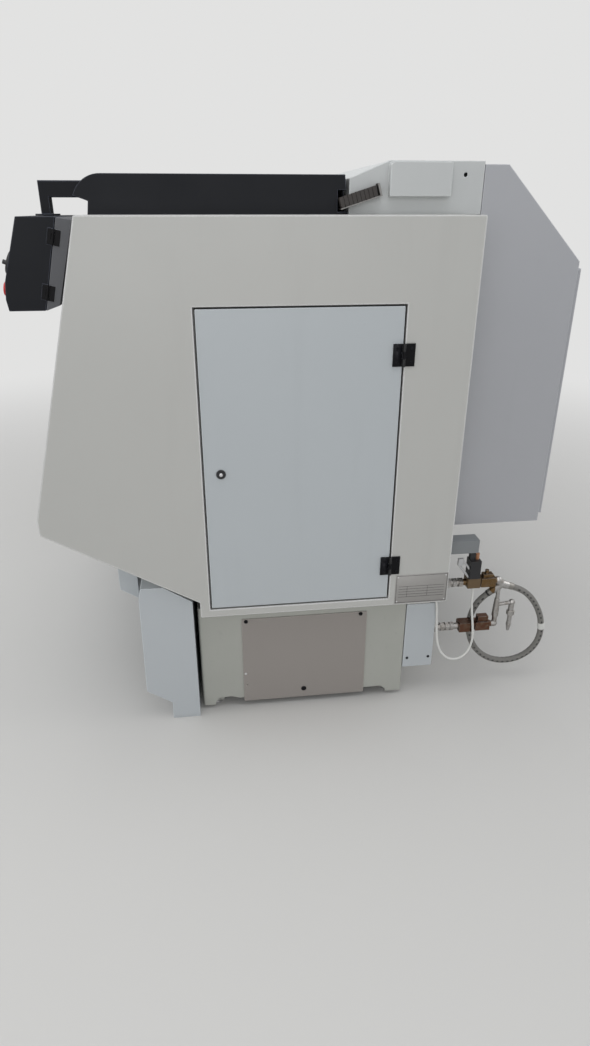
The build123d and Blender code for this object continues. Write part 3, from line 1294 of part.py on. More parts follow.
with BuildPart() as electrical_cabinet:
    outline_x(CABINET_SECTION, *CABINET_X)
    cabinet_inner = [
        (CABINET_Y[0] + SHEET, CABINET_BOTTOM + SHEET),
        (CABINET_Y[0] + SHEET, CABINET_TOP - SHEET),
        (CABINET_CHAMFER_Y - 1, CABINET_TOP - SHEET),
        (CABINET_Y[1] - SHEET, CABINET_CHAMFER_Z - 1),
        (CABINET_Y[1] - SHEET, CABINET_BOTTOM + SHEET),
    ]
    outline_x(cabinet_inner, CABINET_X[0] + SHEET, CABINET_X[1] - SHEET, mode=Mode.SUBTRACT)
    block(
        (CABINET_DOOR_X[0] + 16, CABINET_DOOR_X[1] - 16),
        (CABINET_Y[1] - SHEET - 1, CABINET_Y[1] + 1),
        (CABINET_DOOR_Z[0] + 16, CABINET_DOOR_Z[1] - 16),
        mode=Mode.SUBTRACT,
    )
    # channels that hang the cabinet on the rear wall
    for rail_x in (CABINET_X[0] + 60, CABINET_X[1] - 110):
        block((rail_x, rail_x + 50), (REAR_Y, CABINET_Y[0]), (CABINET_BOTTOM + 60, TOP_Z - 20))
    # pins of the door's hinges, each on a lug
    for height in DOOR_PIN_HEIGHTS:
        block(
            (DOOR_PIN_X - 3, DOOR_PIN_X + 3),
            (CABINET_Y[1], DOOR_PIN_Y),
            (height - KNUCKLE + SLIDE_CLEARANCE, height + KNUCKLE - SLIDE_CLEARANCE),
        )
        knuckle(
            DOOR_PIN_X,
            DOOR_PIN_Y,
            height - KNUCKLE + SLIDE_CLEARANCE,
            height + KNUCKLE - SLIDE_CLEARANCE,
            BARREL + 1,
        )
        knuckle(DOOR_PIN_X, DOOR_PIN_Y, height - 30, height + 30, PIN)
save(electrical_cabinet, "electrical_cabinet")

# Mounting plate in the cabinet, with drives, contactors and cable ducts
with BuildPart() as cabinet_devices:
    plate_y = CABINET_Y[0] + 15
    block((-60, 680), (plate_y, plate_y + 3), (680, 1600))
    for stand_x in (-50, 650):
        for stand_z in (700, 1570):
            block((stand_x, stand_x + 20), (CABINET_Y[0] + SHEET, plate_y), (stand_z, stand_z + 20))
    device_y = plate_y + 3
    for drive in range(4):
        drive_x = 20 + drive * 110
        block((drive_x, drive_x + 90), (device_y, device_y + 170), (1230, 1500))
    for contactor in range(7):
        contactor_x = 20 + contactor * 64
        block((contactor_x, contactor_x + 48), (device_y, device_y + 85), (1010, 1100))
    block((0, 620), (device_y, device_y + 42), (1130, 1190))
    block((0, 620), (device_y, device_y + 42), (900, 960))
    block((0, 620), (device_y, device_y + 60), (740, 800))
    block((500, 640), (device_y, device_y + 120), (1010, 1110))
save(cabinet_devices, "cabinet_devices")

with BuildPart() as cabinet_door:
    door_y = (CABINET_Y[1] + CABINET_DOOR_GAP, CABINET_Y[1] + CABINET_DOOR_GAP + CABINET_DOOR_DEPTH)
    block(CABINET_DOOR_X, door_y, CABINET_DOOR_Z)
    fillet(cabinet_door.edges().filter_by(Axis.Y), 4)
    block(
        (CABINET_DOOR_X[0] + SHEET, CABINET_DOOR_X[1] - SHEET),
        (door_y[0] - 1, door_y[1] - SHEET),
        (CABINET_DOOR_Z[0] + SHEET, CABINET_DOOR_Z[1] - SHEET),
        mode=Mode.SUBTRACT,
    )
    SWITCH_X = 120
    SWITCH_Z = 1340
    SWITCH_SHAFT = 8
    with BuildSketch(Plane.XZ.offset(-door_y[1] - 1)) as switch_hole:
        with Locations((SWITCH_X, SWITCH_Z)):
            Circle(SWITCH_SHAFT + SLIDE_CLEARANCE)
    extrude(switch_hole.sketch, amount=SHEET + 3, mode=Mode.SUBTRACT)
    latch_x = CABINET_DOOR_X[1] - 36
    for latch_z in (850, 1250):
        block((latch_x, latch_x + 18), (door_y[1], door_y[1] + 6), (latch_z, latch_z + 60))
    for height in DOOR_PIN_HEIGHTS:
        for z_from, z_to in ((height - 30, height - KNUCKLE), (height + KNUCKLE, height + 30)):
            knuckle(DOOR_PIN_X, DOOR_PIN_Y, z_from, z_to, BARREL + 1)
            block(
                (DOOR_PIN_X + 3, CABINET_DOOR_X[0] + SHEET),
                (DOOR_PIN_Y - 3, DOOR_PIN_Y + 3),
                (z_from, z_to),
            )
            knuckle(
                DOOR_PIN_X,
                DOOR_PIN_Y,
                z_from,
                z_to,
                PIN + RUNNING_CLEARANCE,
                mode=Mode.SUBTRACT,
            )
save(cabinet_door, "cabinet_door")

with BuildPart() as main_switch:
    switch_y = door_y[1]
    with BuildSketch(Plane.XZ.offset(-switch_y - 0.5)) as rose:
        with Locations((SWITCH_X, SWITCH_Z)):
            Circle(30)
    extrude(rose.sketch, amount=-8)
    block((SWITCH_X - 9, SWITCH_X + 9), (switch_y + 8, switch_y + 24), (SWITCH_Z - 26, SWITCH_Z + 26))
    with BuildSketch(Plane.XZ.offset(-switch_y - 1)) as stem:
        with Locations((SWITCH_X, SWITCH_Z)):
            Circle(SWITCH_SHAFT)
    extrude(stem.sketch, amount=16)
save(main_switch, "main_switch")


# Pendant arm: welded box section, out of the hood and down to the pendant's swivel flange
DROP_Y = (ARM_FRONT_Y, ARM_FRONT_Y + ARM_DROP)
SWIVEL_Y = (DROP_Y[0] + DROP_Y[1]) / 2
FLANGE_Z = (PENDANT_TOP_Z + SLIDE_CLEARANCE, PENDANT_TOP_Z + 5)

with BuildPart() as pendant_arm:
    arm_side = [(ARM_END_Y, ARM_Z[1]), (DROP_Y[0], ARM_Z[1]), (DROP_Y[0], FLANGE_Z[1])]
    arm_side += [(DROP_Y[1], FLANGE_Z[1]), (DROP_Y[1], ARM_Z[0]), (ARM_END_Y, ARM_Z[0])]
    outline_x(arm_side, ARM_X - ARM_WIDTH / 2, ARM_X + ARM_WIDTH / 2)
    fillet(pendant_arm.edges().filter_by(Axis.Y), 3)
    # foot inside the hood, bolted to the header
    block((ARM_X - 20, ARM_X + 20), (ARM_END_Y - 40, ARM_END_Y), (TOP_Z, ARM_Z[0] + 5))
    block((ARM_X - 45, ARM_X + 45), HEADER_Y, (TOP_Z, TOP_Z + 8))
    with BuildSketch(Plane.XY.offset(FLANGE_Z[0])) as flange:
        with Locations((ARM_X, SWIVEL_Y)):
            Circle(34)
    extrude(flange.sketch, amount=FLANGE_Z[1] - FLANGE_Z[0])
save(pendant_arm, "pendant_arm")


# Pendant housing and the cover hinged to its back
PENDANT_SIDE = [(-761, PENDANT_TOP_Z), (-661, PENDANT_TOP_Z), (-718, 1396), (-814, 1396), (-818, 1426)]
PENDANT_SIDE += [(-813, 1471)]
REAR_SIDE = [(-659, 1630), (-619, 1624), (-679, 1409), (-716, 1396)]
FACE_LEAN = atan2(813 - 761, PENDANT_TOP_Z - 1471)
face_plane = Plane(
    origin=(ARM_X, -787, (PENDANT_TOP_Z + 1471) / 2),
    x_dir=(1, 0, 0),
    z_dir=(0, -cos(FACE_LEAN), sin(FACE_LEAN)),
)
band_lean = atan2(5, 45)
band_plane = Plane(
    origin=(ARM_X, -815.5, 1448.5), x_dir=(1, 0, 0), z_dir=(0, -cos(band_lean), sin(band_lean))
)
STOP_PLACE = (150, 0)
START_PLACE = (-120, 0)
HOLD_PLACE = (-70, 0)
WHEEL_PLACE = (150, -38)
STOP_STEM = 8
BUTTON_STEM = 6
WHEEL_SHAFT = 5
SCREEN_SIZE = (200, 138)
SCREEN_PLACE = (-85, 0)
PENDANT_HINGES = (1582, 1443)
HINGE_HALF = 20
HINGE_THIRD = 7
HINGE_LEAN = atan2(57, 236)
HINGE_X = PENDANT_X[1] + 4


def pendant_hinge_point(height, along, out):
    """Y and Z of a point near a pendant hinge, along its pin and square to it."""
    y = -660 - (PENDANT_TOP_Z - height) * tan(HINGE_LEAN)
    y += along * sin(HINGE_LEAN) + out * cos(HINGE_LEAN)
    z = height + along * cos(HINGE_LEAN) - out * sin(HINGE_LEAN)
    return (y, z)


def pendant_leaf(height, out_from, out_to, half, low=None, high=None):
    """A flat leaf of a pendant hinge, between two distances from its pin."""
    if half is not None:
        low, high = -half, half
    corners = [pendant_hinge_point(height, low, out_from), pendant_hinge_point(height, low, out_to)]
    corners += [pendant_hinge_point(height, high, out_to), pendant_hinge_point(height, high, out_from)]
    outline_x(corners, PENDANT_X[1], PENDANT_X[1] + 2.5)


def pendant_knuckle(height, low, high, radius, mode=Mode.ADD):
    """A knuckle, pin or bore of a pendant hinge."""
    start = (HINGE_X, *pendant_hinge_point(height, low, 0))
    pin_line = Plane(origin=start, x_dir=(1, 0, 0), z_dir=(0, sin(HINGE_LEAN), cos(HINGE_LEAN)))
    with BuildSketch(pin_line) as ring:
        Circle(radius)
    extrude(ring.sketch, amount=high - low, mode=mode)


with BuildPart() as pendant_housing:
    outline_x(PENDANT_SIDE, *PENDANT_X, radius=2)
    inner_side = [(-758, PENDANT_TOP_Z - 3), (-640, PENDANT_TOP_Z - 3), (-700, 1399), (-811, 1399)]
    inner_side += [(-814.5, 1426), (-809.5, 1471)]
    outline_x(inner_side, PENDANT_X[0] + PENDANT_SHEET, PENDANT_X[1] - PENDANT_SHEET, mode=Mode.SUBTRACT)
    with BuildSketch(face_plane.offset(-1.5)) as screen_recess:
        with Locations(SCREEN_PLACE):
            RectangleRounded(*SCREEN_SIZE, 4)
    extrude(screen_recess.sketch, amount=3, mode=Mode.SUBTRACT)
    for place, radius in ((STOP_PLACE, STOP_STEM), (START_PLACE, BUTTON_STEM), (HOLD_PLACE, BUTTON_STEM)):
        with BuildSketch(band_plane.offset(-6)) as stem_hole:
            with Locations(place):
                Circle(radius + SLIDE_CLEARANCE)
        extrude(stem_hole.sketch, amount=8, mode=Mode.SUBTRACT)
    with BuildSketch(face_plane.offset(-6)) as shaft_hole:
        with Locations(WHEEL_PLACE):
            Circle(WHEEL_SHAFT + SLIDE_CLEARANCE)
    extrude(shaft_hole.sketch, amount=8, mode=Mode.SUBTRACT)
    # hinge leaves on the right side, with the outer knuckles and the pins
    for height in PENDANT_HINGES:
        pendant_leaf(height, -15, -4, HINGE_HALF)
        for low, high in ((-HINGE_HALF, -HINGE_THIRD), (HINGE_THIRD, HINGE_HALF)):
            pendant_knuckle(height, low, high, 3.5)
            pendant_leaf(height, -5, -1, None, low, high)
        pendant_knuckle(height, -HINGE_HALF, HINGE_HALF, 1.5)
save(pendant_housing, "pendant_housing")

with BuildPart() as pendant_rear_cover:
    outline_x(REAR_SIDE, *PENDANT_X)
    rear_inner = [(-670, 1627), (-622.5, 1621), (-681.5, 1412), (-735, 1396)]
    outline_x(rear_inner, PENDANT_X[0] + PENDANT_SHEET, PENDANT_X[1] - PENDANT_SHEET, mode=Mode.SUBTRACT)
    # hinge leaves with the middle knuckles
    middle = HINGE_THIRD - SLIDE_CLEARANCE
    for height in PENDANT_HINGES:
        pendant_leaf(height, 4, 18, HINGE_HALF)
        pendant_leaf(height, 1, 5, middle)
        pendant_knuckle(height, -middle, middle, 3.5)
        pendant_knuckle(height, -middle, middle, 1.5 + RUNNING_CLEARANCE, mode=Mode.SUBTRACT)
save(pendant_rear_cover, "pendant_rear_cover")


def push_button(plane, place, stem, cap, cap_height, gap):
    """A button: its stem through the panel and its cap in front of it."""
    with BuildSketch(plane.offset(-12)) as stem_section:
        with Locations(place):
            Circle(stem)
    extrude(stem_section.sketch, amount=12 + gap)
    with BuildSketch(plane.offset(gap)) as cap_section:
        with Locations(place):
            Circle(cap)
    extrude(cap_section.sketch, amount=cap_height)


with BuildPart() as emergency_stop:
    push_button(band_plane, STOP_PLACE, STOP_STEM, 19, 9, 5)
    fillet(emergency_stop.edges().group_by(Axis.Y)[0], 4)
save(emergency_stop, "emergency_stop")

with BuildPart() as cycle_start_button:
    push_button(band_plane, START_PLACE, BUTTON_STEM, 12, 6, 5)
save(cycle_start_button, "cycle_start_button")

with BuildPart() as feed_hold_button:
    push_button(band_plane, HOLD_PLACE, BUTTON_STEM, 12, 6, 5)
save(feed_hold_button, "feed_hold_button")

with BuildPart() as pulse_handwheel:
    push_button(face_plane, WHEEL_PLACE, WHEEL_SHAFT, 30, 8, 2)
    with BuildSketch(face_plane.offset(10)) as spinner:
        with Locations((WHEEL_PLACE[0] + 19, WHEEL_PLACE[1])):
            Circle(6)
    extrude(spinner.sketch, amount=10)
save(pulse_handwheel, "pulse_handwheel")


# Rear pipework: two lines along Y, a tee that joins them and a drop leg
TEE = Vector(PIPE_X, 716, 432)
RIGHT_OUTLET = Vector(-0.019, 0.942, -0.334).normalized() * 24
LEFT_OUTLET = Vector(-0.288, -0.609, -0.737).normalized() * 45
TAIL_Y = 707
LEG_Y = 765


def pipe(start, end, radius, end_radius=None):
    """A straight or tapered pipe between two points given as X, Y and Z."""
    a = Vector(*start)
    b = Vector(*end)
    line = Plane(origin=a, z_dir=b - a)
    with BuildSketch(line) as foot:
        Circle(radius)
    if end_radius is None:
        extrude(foot.sketch, amount=(b - a).length)
    else:
        with BuildSketch(line.offset((b - a).length)) as head:
            Circle(end_radius)
        loft([foot.sketch, head.sketch])


def hex_nut(start, end, radius):
    """A six sided nut between two points given as X, Y and Z."""
    a = Vector(*start)
    b = Vector(*end)
    with BuildSketch(Plane(origin=a, z_dir=b - a)) as flats:
        RegularPolygon(radius=radius, side_count=6)
    extrude(flats.sketch, amount=(b - a).length)


def ball(x, y, z, radius):
    """A ball that rounds the corner of an elbow."""
    with Locations((x, y, z)):
        Sphere(radius)


with BuildPart() as pipe_fittings:
    # upper line: from the cover's rear flange to the valve
    hex_nut((PIPE_X, REAR_Y, UPPER_LINE_Z), (PIPE_X, REAR_Y + 12, UPPER_LINE_Z), 20)
    pipe((PIPE_X, REAR_Y, UPPER_LINE_Z), (PIPE_X, 581, UPPER_LINE_Z), PIPE_RADIUS)
    for nut_y in (508, 530, 552):
        hex_nut((PIPE_X, nut_y, UPPER_LINE_Z), (PIPE_X, nut_y + 14, UPPER_LINE_Z), 18)
    # upper line: from the valve to the tee
    pipe((PIPE_X, 627, UPPER_LINE_Z), (PIPE_X, 700, UPPER_LINE_Z), PIPE_RADIUS)
    block((PIPE_X - 18, PIPE_X + 18), (632, 686), (UPPER_LINE_Z - 17, UPPER_LINE_Z + 17))
    block((PIPE_X - 12, PIPE_X + 12), (640, 676), (UPPER_LINE_Z + 16, UPPER_LINE_Z + 30))
    pipe((PIPE_X, 655, UPPER_LINE_Z + 28), (PIPE_X, 655, UPPER_LINE_Z + 44), 7)
    ball(PIPE_X, 700, UPPER_LINE_Z, PIPE_RADIUS + 2)
    pipe((PIPE_X, 700, UPPER_LINE_Z), tuple(TEE), PIPE_RADIUS + 2)
    ball(*TEE, PIPE_RADIUS + 3)
    pipe(tuple(TEE), tuple(TEE + RIGHT_OUTLET), PIPE_RADIUS + 2)
    pipe(tuple(TEE), tuple(TEE + LEFT_OUTLET), PIPE_RADIUS + 2)
    # lower line: from the base to the elbow below the tee
    pipe((PIPE_X, BRACKET_Y[0] + SHEET, LOWER_LINE_Z), (PIPE_X, 700, LOWER_LINE_Z), PIPE_RADIUS)
    hex_nut((PIPE_X, BRACKET_Y[1], LOWER_LINE_Z), (PIPE_X, BRACKET_Y[1] + 14, LOWER_LINE_Z), 19)
    for nut_y in (502, 520, 538):
        hex_nut((PIPE_X, nut_y, LOWER_LINE_Z), (PIPE_X, nut_y + 12, LOWER_LINE_Z), 17)
    block((PIPE_X - 20, PIPE_X + 20), (570, 620), (LOWER_LINE_Z - 18, LOWER_LINE_Z + 18))
    block((PIPE_X - 18, PIPE_X + 18), (631, 685), (LOWER_LINE_Z - 17, LOWER_LINE_Z + 17))
    block((PIPE_X - 12, PIPE_X + 12), (640, 678), (LOWER_LINE_Z + 16, LOWER_LINE_Z + 38))
    ball(PIPE_X, TAIL_Y, LOWER_LINE_Z, PIPE_RADIUS)
    pipe((PIPE_X, 698, LOWER_LINE_Z), (PIPE_X, TAIL_Y, LOWER_LINE_Z), PIPE_RADIUS)
    pipe((PIPE_X, TAIL_Y, LOWER_LINE_Z), (PIPE_X, TAIL_Y, 300), 9)
    pipe((PIPE_X, TAIL_Y, 300), (PIPE_X, TAIL_Y, 318), PIPE_RADIUS)
    pipe((PIPE_X, TAIL_Y, 318), (PIPE_X, TAIL_Y, 372), PIPE_RADIUS, 9)
    pipe((PIPE_X, TAIL_Y, 372), (PIPE_X, TAIL_Y, 428), 7)
    # drop leg beside it, closed by a plug
    pipe((PIPE_X, TAIL_Y, 345), (PIPE_X, LEG_Y, 352), 7)
    ball(PIPE_X, LEG_Y, 352, 12)
    pipe((PIPE_X, LEG_Y, 352), (PIPE_X, LEG_Y, 300), 10)
    hex_nut((PIPE_X, LEG_Y, 318), (PIPE_X, LEG_Y, 300), 14)
    pipe((PIPE_X, LEG_Y, 300), (PIPE_X, LEG_Y, 262), 8)
    pipe((PIPE_X, LEG_Y, 262), (PIPE_X, LEG_Y, 232), 10, 5)
save(pipe_fittings, "pipe_fittings")


# Solenoid valve in the upper line, hung from the channel
VALVE_Y = (581, 627)

with BuildPart() as solenoid_valve:
    block((PIPE_X - 22, PIPE_X + 22), VALVE_Y, (UPPER_LINE_Z - 16, UPPER_LINE_Z + 22))
    block((PIPE_X - 20, PIPE_X + 23), (583, 621), (UPPER_LINE_Z + 22, 540))
    block((PIPE_X - 12, PIPE_X + 12), (585, 601), (538, CHANNEL_Z[0]))
    pipe((PIPE_X, 611, 538), (PIPE_X, 611, 562), 8)
    pipe((PIPE_X + 14, 552, 548), (PIPE_X + 14, 596, 492), 4)
    pipe((PIPE_X + 14, 540, 530), (PIPE_X + 14, 584, 474), 4)
    block((PIPE_X + 9, PIPE_X + 19), (538, 556), (526, 552))
save(solenoid_valve, "solenoid_valve")


def cord_part(points, radius, name):
    """A cord of round section: straight runs joined by tangent arcs of their full size."""
    spots = [Vector(*p) for p in points]
    runs = [b - a for a, b in zip(spots, spots[1:])]
    radii = []
    for before, after in zip(runs, runs[1:]):
        turn = radians(before.get_angle(after))
        radii.append(0.45 * min(before.length, after.length) / tan(turn / 2))
    with BuildLine() as route:
        FilletPolyline(*spots, radius=radii)
    start = Plane(origin=route.line @ 0, z_dir=route.line % 0)
    with BuildSketch(start) as section:
        Circle(radius)
    sweep(section.sketch, path=route.line)
    length = sum(edge.length for edge in route.edges())
    print(name, "length", round(length), "radii", [round(r) for r in radii])


# Braided hose in one loop, held by both outlets of the tee
HOSE_RADIUS = 11
HOSE_POINTS = [
    tuple(TEE + RIGHT_OUTLET),
    tuple(TEE + RIGHT_OUTLET * (76 / 24)),
    (818, 828, 377),
    (820, 862, 330),
    (821, 886, 275),
    (820, 895, 216),
    (817, 886, 160),
    (811, 855, 114),
    (803, 808, 86),
    (794, 754, 80),
    (786, 703, 97),
    (780, 662, 135),
    (776, 636, 188),
    (775, 628, 247),
    (779, 634, 307),
    tuple(TEE + LEFT_OUTLET * (95 / 45)),
    tuple(TEE + LEFT_OUTLET),
]

with BuildPart() as hose_loop:
    cord_part(HOSE_POINTS, HOSE_RADIUS, "hose_loop")
save(hose_loop, "hose_loop")


# White cable from the valve, in a slack loop and up to the underside of the end cover
CABLE_RADIUS = 4
CABLE_POINTS = [
    (829, 605, UPPER_LINE_Z - 16),
    (829, 605, 383),
    (836, 609, 330),
    (843, 616, 275),
    (847, 619, 226),
    (849, 611, 184),
    (851, 588, 154),
    (852, 556, 144),
    (852, 524, 155),
    (851, 499, 185),
    (850, 484, 227),
    (849, 478, 279),
    (847, 475, 330),
    (845, 471, 378),
    (842, 467, 405),
    (842, 467, UNDERSIDE_Z),
]

with BuildPart() as white_cable:
    cord_part(CABLE_POINTS, CABLE_RADIUS, "white_cable")
save(white_cable, "white_cable")


# Lubrication unit behind the access door: plate, reservoir, pump and filler cap
UNIT_X = RIGHT_BULKHEAD_X[1]
UNIT_Y = (-215, -65)
UNIT_Z = (560, 720)

with BuildPart() as lubrication_unit:
    block((UNIT_X + 4, UNIT_X + 104), UNIT_Y, UNIT_Z)
    fillet(lubrication_unit.edges().filter_by(Axis.Z), 10)
    block((UNIT_X, UNIT_X + 4), (UNIT_Y[0] - 10, UNIT_Y[1] + 10), (UNIT_Z[0] - 10, 830))
    block((UNIT_X + 4, UNIT_X + 96), (UNIT_Y[0] + 6, UNIT_Y[1] - 6), (UNIT_Z[1], UNIT_Z[1] + 16))
    pipe((UNIT_X + 50, -115, UNIT_Z[1] + 16), (UNIT_X + 50, -115, 806), 38)
    pipe((UNIT_X + 50, -185, UNIT_Z[1] + 16), (UNIT_X + 50, -185, 752), 18)
    hex_nut((UNIT_X + 4, -190, 800), (UNIT_X + 40, -190, 800), 14)
save(lubrication_unit, "lubrication_unit")
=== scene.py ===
import json
from math import atan2, cos, pi, sin

import bmesh
import bpy
from mathutils import Matrix, Vector


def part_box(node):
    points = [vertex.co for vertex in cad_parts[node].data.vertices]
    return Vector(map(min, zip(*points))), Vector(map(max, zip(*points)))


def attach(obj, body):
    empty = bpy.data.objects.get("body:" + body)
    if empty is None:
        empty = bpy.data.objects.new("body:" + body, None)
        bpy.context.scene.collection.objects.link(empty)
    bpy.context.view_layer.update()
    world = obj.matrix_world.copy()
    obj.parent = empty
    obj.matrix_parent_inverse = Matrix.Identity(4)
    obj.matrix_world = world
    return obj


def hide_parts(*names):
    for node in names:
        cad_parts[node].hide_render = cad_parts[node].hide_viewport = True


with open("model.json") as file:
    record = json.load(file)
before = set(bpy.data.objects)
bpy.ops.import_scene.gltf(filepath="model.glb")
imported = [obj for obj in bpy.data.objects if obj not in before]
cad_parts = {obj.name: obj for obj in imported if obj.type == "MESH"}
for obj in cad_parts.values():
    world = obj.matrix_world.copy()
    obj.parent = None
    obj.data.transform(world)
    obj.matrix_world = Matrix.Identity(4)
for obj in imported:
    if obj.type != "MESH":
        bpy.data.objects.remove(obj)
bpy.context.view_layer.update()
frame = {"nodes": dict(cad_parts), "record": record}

# ---------------------------------------------------------------------------
# Places taken from the CAD, in metres
# ---------------------------------------------------------------------------
RIGHT_FACE = 0.900
NOSE = Vector((0, -0.816, 0.805))
TOP_FRONT = Vector((0, -0.602, 1.635))
FRONT_LEAN = atan2(TOP_FRONT.y - NOSE.y, TOP_FRONT.z - NOSE.z)
FACE_ORIGIN = Vector((0.620, -0.787, 1.5515))
FACE_NORMAL = Vector((0, -0.95163, 0.30725))
BAND_ORIGIN = Vector((0.620, -0.8155, 1.4485))
BAND_NORMAL = Vector((0, -0.99389, 0.11038))
WINDOW_HALF, WINDOW_V = 0.225, (0.330, 0.700)
DOOR_SKIN = -0.005
GRIP_X, GRIP_V, GRIP_OUT, GRIP_BEND, GRIP_RADIUS = 0.300, (0.330, 0.560), 0.040, 0.022, 0.0095
HINGE_HEIGHTS, HINGE_FACE = (1.268, 0.581), RIGHT_FACE + 0.004
SPINDLE_Y, SPINDLE_Z, CHUCK_FACE = -0.230, 1.050, -0.250
TEE = Vector((0.815, 0.716, 0.432))
RIGHT_WAY = Vector((-0.019, 0.942, -0.334)).normalized()
LEFT_WAY = Vector((-0.288, -0.609, -0.737)).normalized()


def front_point(x, v, w):
    """A point of the slanted front, v up the slope and w out of it."""
    y = NOSE.y + v * sin(FRONT_LEAN) - w * cos(FRONT_LEAN)
    z = NOSE.z + v * cos(FRONT_LEAN) + w * sin(FRONT_LEAN)
    return Vector((x, y, z))


FRONT_NORMAL = (front_point(0, 0, 1) - front_point(0, 0, 0)).normalized()


# ---------------------------------------------------------------------------
# Camera, light and floor
# ---------------------------------------------------------------------------
BACKDROP = (0.76, 0.76, 0.755, 1)
CAMERA_PLACE, CAMERA_WAY, CAMERA_LENS = (2.82, -0.28, 1.65), (-0.9004, 0.1124, -0.4204), 23.35
FLOOR_HALF, FADE_FROM, FADE_TO = 14, 1.6, 5.5


def look(position, forward, lens):
    """A camera at a place, looking along a direction and upright."""
    forward = Vector(forward).normalized()
    right = forward.cross(Vector((0, 0, 1))).normalized()
    up = right.cross(forward)
    turn = Matrix((right, up, -forward)).transposed().to_4x4()
    data = bpy.data.cameras.new("view")
    data.lens = lens
    data.sensor_width = 36
    data.clip_start = 0.02
    data.clip_end = 60
    camera = bpy.data.objects.new("view", data)
    camera.matrix_world = Matrix.Translation(Vector(position)) @ turn
    bpy.context.scene.collection.objects.link(camera)
    bpy.context.scene.camera = camera


def lamp(name, place, target, size, power, mirrored=True):
    """A large soft lamp aimed at a point, seen in gloss or not."""
    data = bpy.data.lights.new(name, "AREA")
    data.shape = "RECTANGLE"
    data.size, data.size_y = size
    data.energy = power
    obj = bpy.data.objects.new(name, data)
    aim = (Vector(target) - Vector(place)).to_track_quat("-Z", "Y")
    obj.matrix_world = Matrix.Translation(Vector(place)) @ aim.to_matrix().to_4x4()
    obj.visible_glossy = mirrored
    bpy.context.scene.collection.objects.link(obj)


def combine(tree, operation, first, second):
    """A math node's result for two sockets."""
    node = tree.nodes.new("ShaderNodeMath")
    node.operation = operation
    tree.links.new(first, node.inputs[0])
    tree.links.new(second, node.inputs[1])
    return node.outputs[0]


def background():
    """A pale world that lights evenly, and looks pale to the camera, in gloss and through glass."""
    world = bpy.data.worlds.new("studio")
    bpy.context.scene.world = world
    world.use_nodes = True
    tree = world.node_tree
    tree.nodes.clear()
    out = tree.nodes.new("ShaderNodeOutputWorld")
    mix = tree.nodes.new("ShaderNodeMixShader")
    light = tree.nodes.new("ShaderNodeBackground")
    light.inputs["Color"].default_value = (0.93, 0.96, 1.0, 1)
    light.inputs["Strength"].default_value = 0.44
    seen = tree.nodes.new("ShaderNodeBackground")
    seen.inputs["Color"].default_value = BACKDROP
    seen.inputs["Strength"].default_value = 1.0
    path = tree.nodes.new("ShaderNodeLightPath")
    link = tree.links.new
    straight = combine(tree, "MAXIMUM", path.outputs["Is Camera Ray"], path.outputs["Is Glossy Ray"])
    pale = combine(tree, "MAXIMUM", straight, path.outputs["Is Transmission Ray"])
    link(pale, mix.inputs["Fac"])
    link(light.outputs[0], mix.inputs[1])
    link(seen.outputs[0], mix.inputs[2])
    link(mix.outputs[0], out.inputs["Surface"])


def floor():
    """A plain pale floor, which isn't part of the lathe and fades into the background."""
    mesh = bpy.data.meshes.new("studio_floor")
    s = FLOOR_HALF
    mesh.from_pydata([(-s, -s, 0), (s, -s, 0), (s, s, 0), (-s, s, 0)], [], [(0, 1, 2, 3)])
    obj = bpy.data.objects.new("studio_floor", mesh)
    bpy.context.scene.collection.objects.link(obj)
    mat = bpy.data.materials.new("studio_floor")
    mat.use_nodes = True
    shader = mat.node_tree.nodes["Principled BSDF"]
    shader.inputs["Base Color"].default_value = (0.62, 0.61, 0.59, 1)
    shader.inputs["Roughness"].default_value = 0.75
    tree = mat.node_tree
    place = tree.nodes.new("ShaderNodeTexCoord")
    far = tree.nodes.new("ShaderNodeVectorMath")
    far.operation = "LENGTH"
    fade = tree.nodes.new("ShaderNodeMapRange")
    fade.interpolation_type = "SMOOTHSTEP"
    fade.inputs["From Min"].default_value = FADE_FROM
    fade.inputs["From Max"].default_value = FADE_TO
    path = tree.nodes.new("ShaderNodeLightPath")
    glow = tree.nodes.new("ShaderNodeEmission")
    glow.inputs["Color"].default_value = BACKDROP
    mix = tree.nodes.new("ShaderNodeMixShader")
    tree.links.new(place.outputs["Object"], far.inputs[0])
    tree.links.new(far.outputs["Value"], fade.inputs["Value"])
    seen = combine(tree, "MULTIPLY", fade.outputs["Result"], path.outputs["Is Camera Ray"])
    tree.links.new(seen, mix.inputs["Fac"])
    tree.links.new(shader.outputs[0], mix.inputs[1])
    tree.links.new(glow.outputs[0], mix.inputs[2])
    tree.links.new(mix.outputs[0], tree.nodes["Material Output"].inputs["Surface"])
    mesh.materials.append(mat)


bpy.context.scene.view_settings.view_transform = "Standard"
look(CAMERA_PLACE, CAMERA_WAY, CAMERA_LENS)
background()
floor()
lamp("over", (0.8, -0.6, 4.4), (0, 0, 0.8), (4.5, 3.5), 74)
lamp("right", (4.6, -0.6, 2.1), (0.4, 0, 0.8), (3.5, 2.5), 37)
lamp("front", (0.5, -4.6, 2.6), (0, 0, 1.0), (3.5, 2.5), 51)
lamp("rear", (0.5, 4.8, 2.8), (0, 0, 1.0), (3.5, 2.5), 47)
lamp("left", (-4.6, 0.5, 2.8), (0, 0, 1.0), (3.0, 2.5), 43, mirrored=False)


# ---------------------------------------------------------------------------
# Materials
# ---------------------------------------------------------------------------
STRAND_ANGLE = 0.785


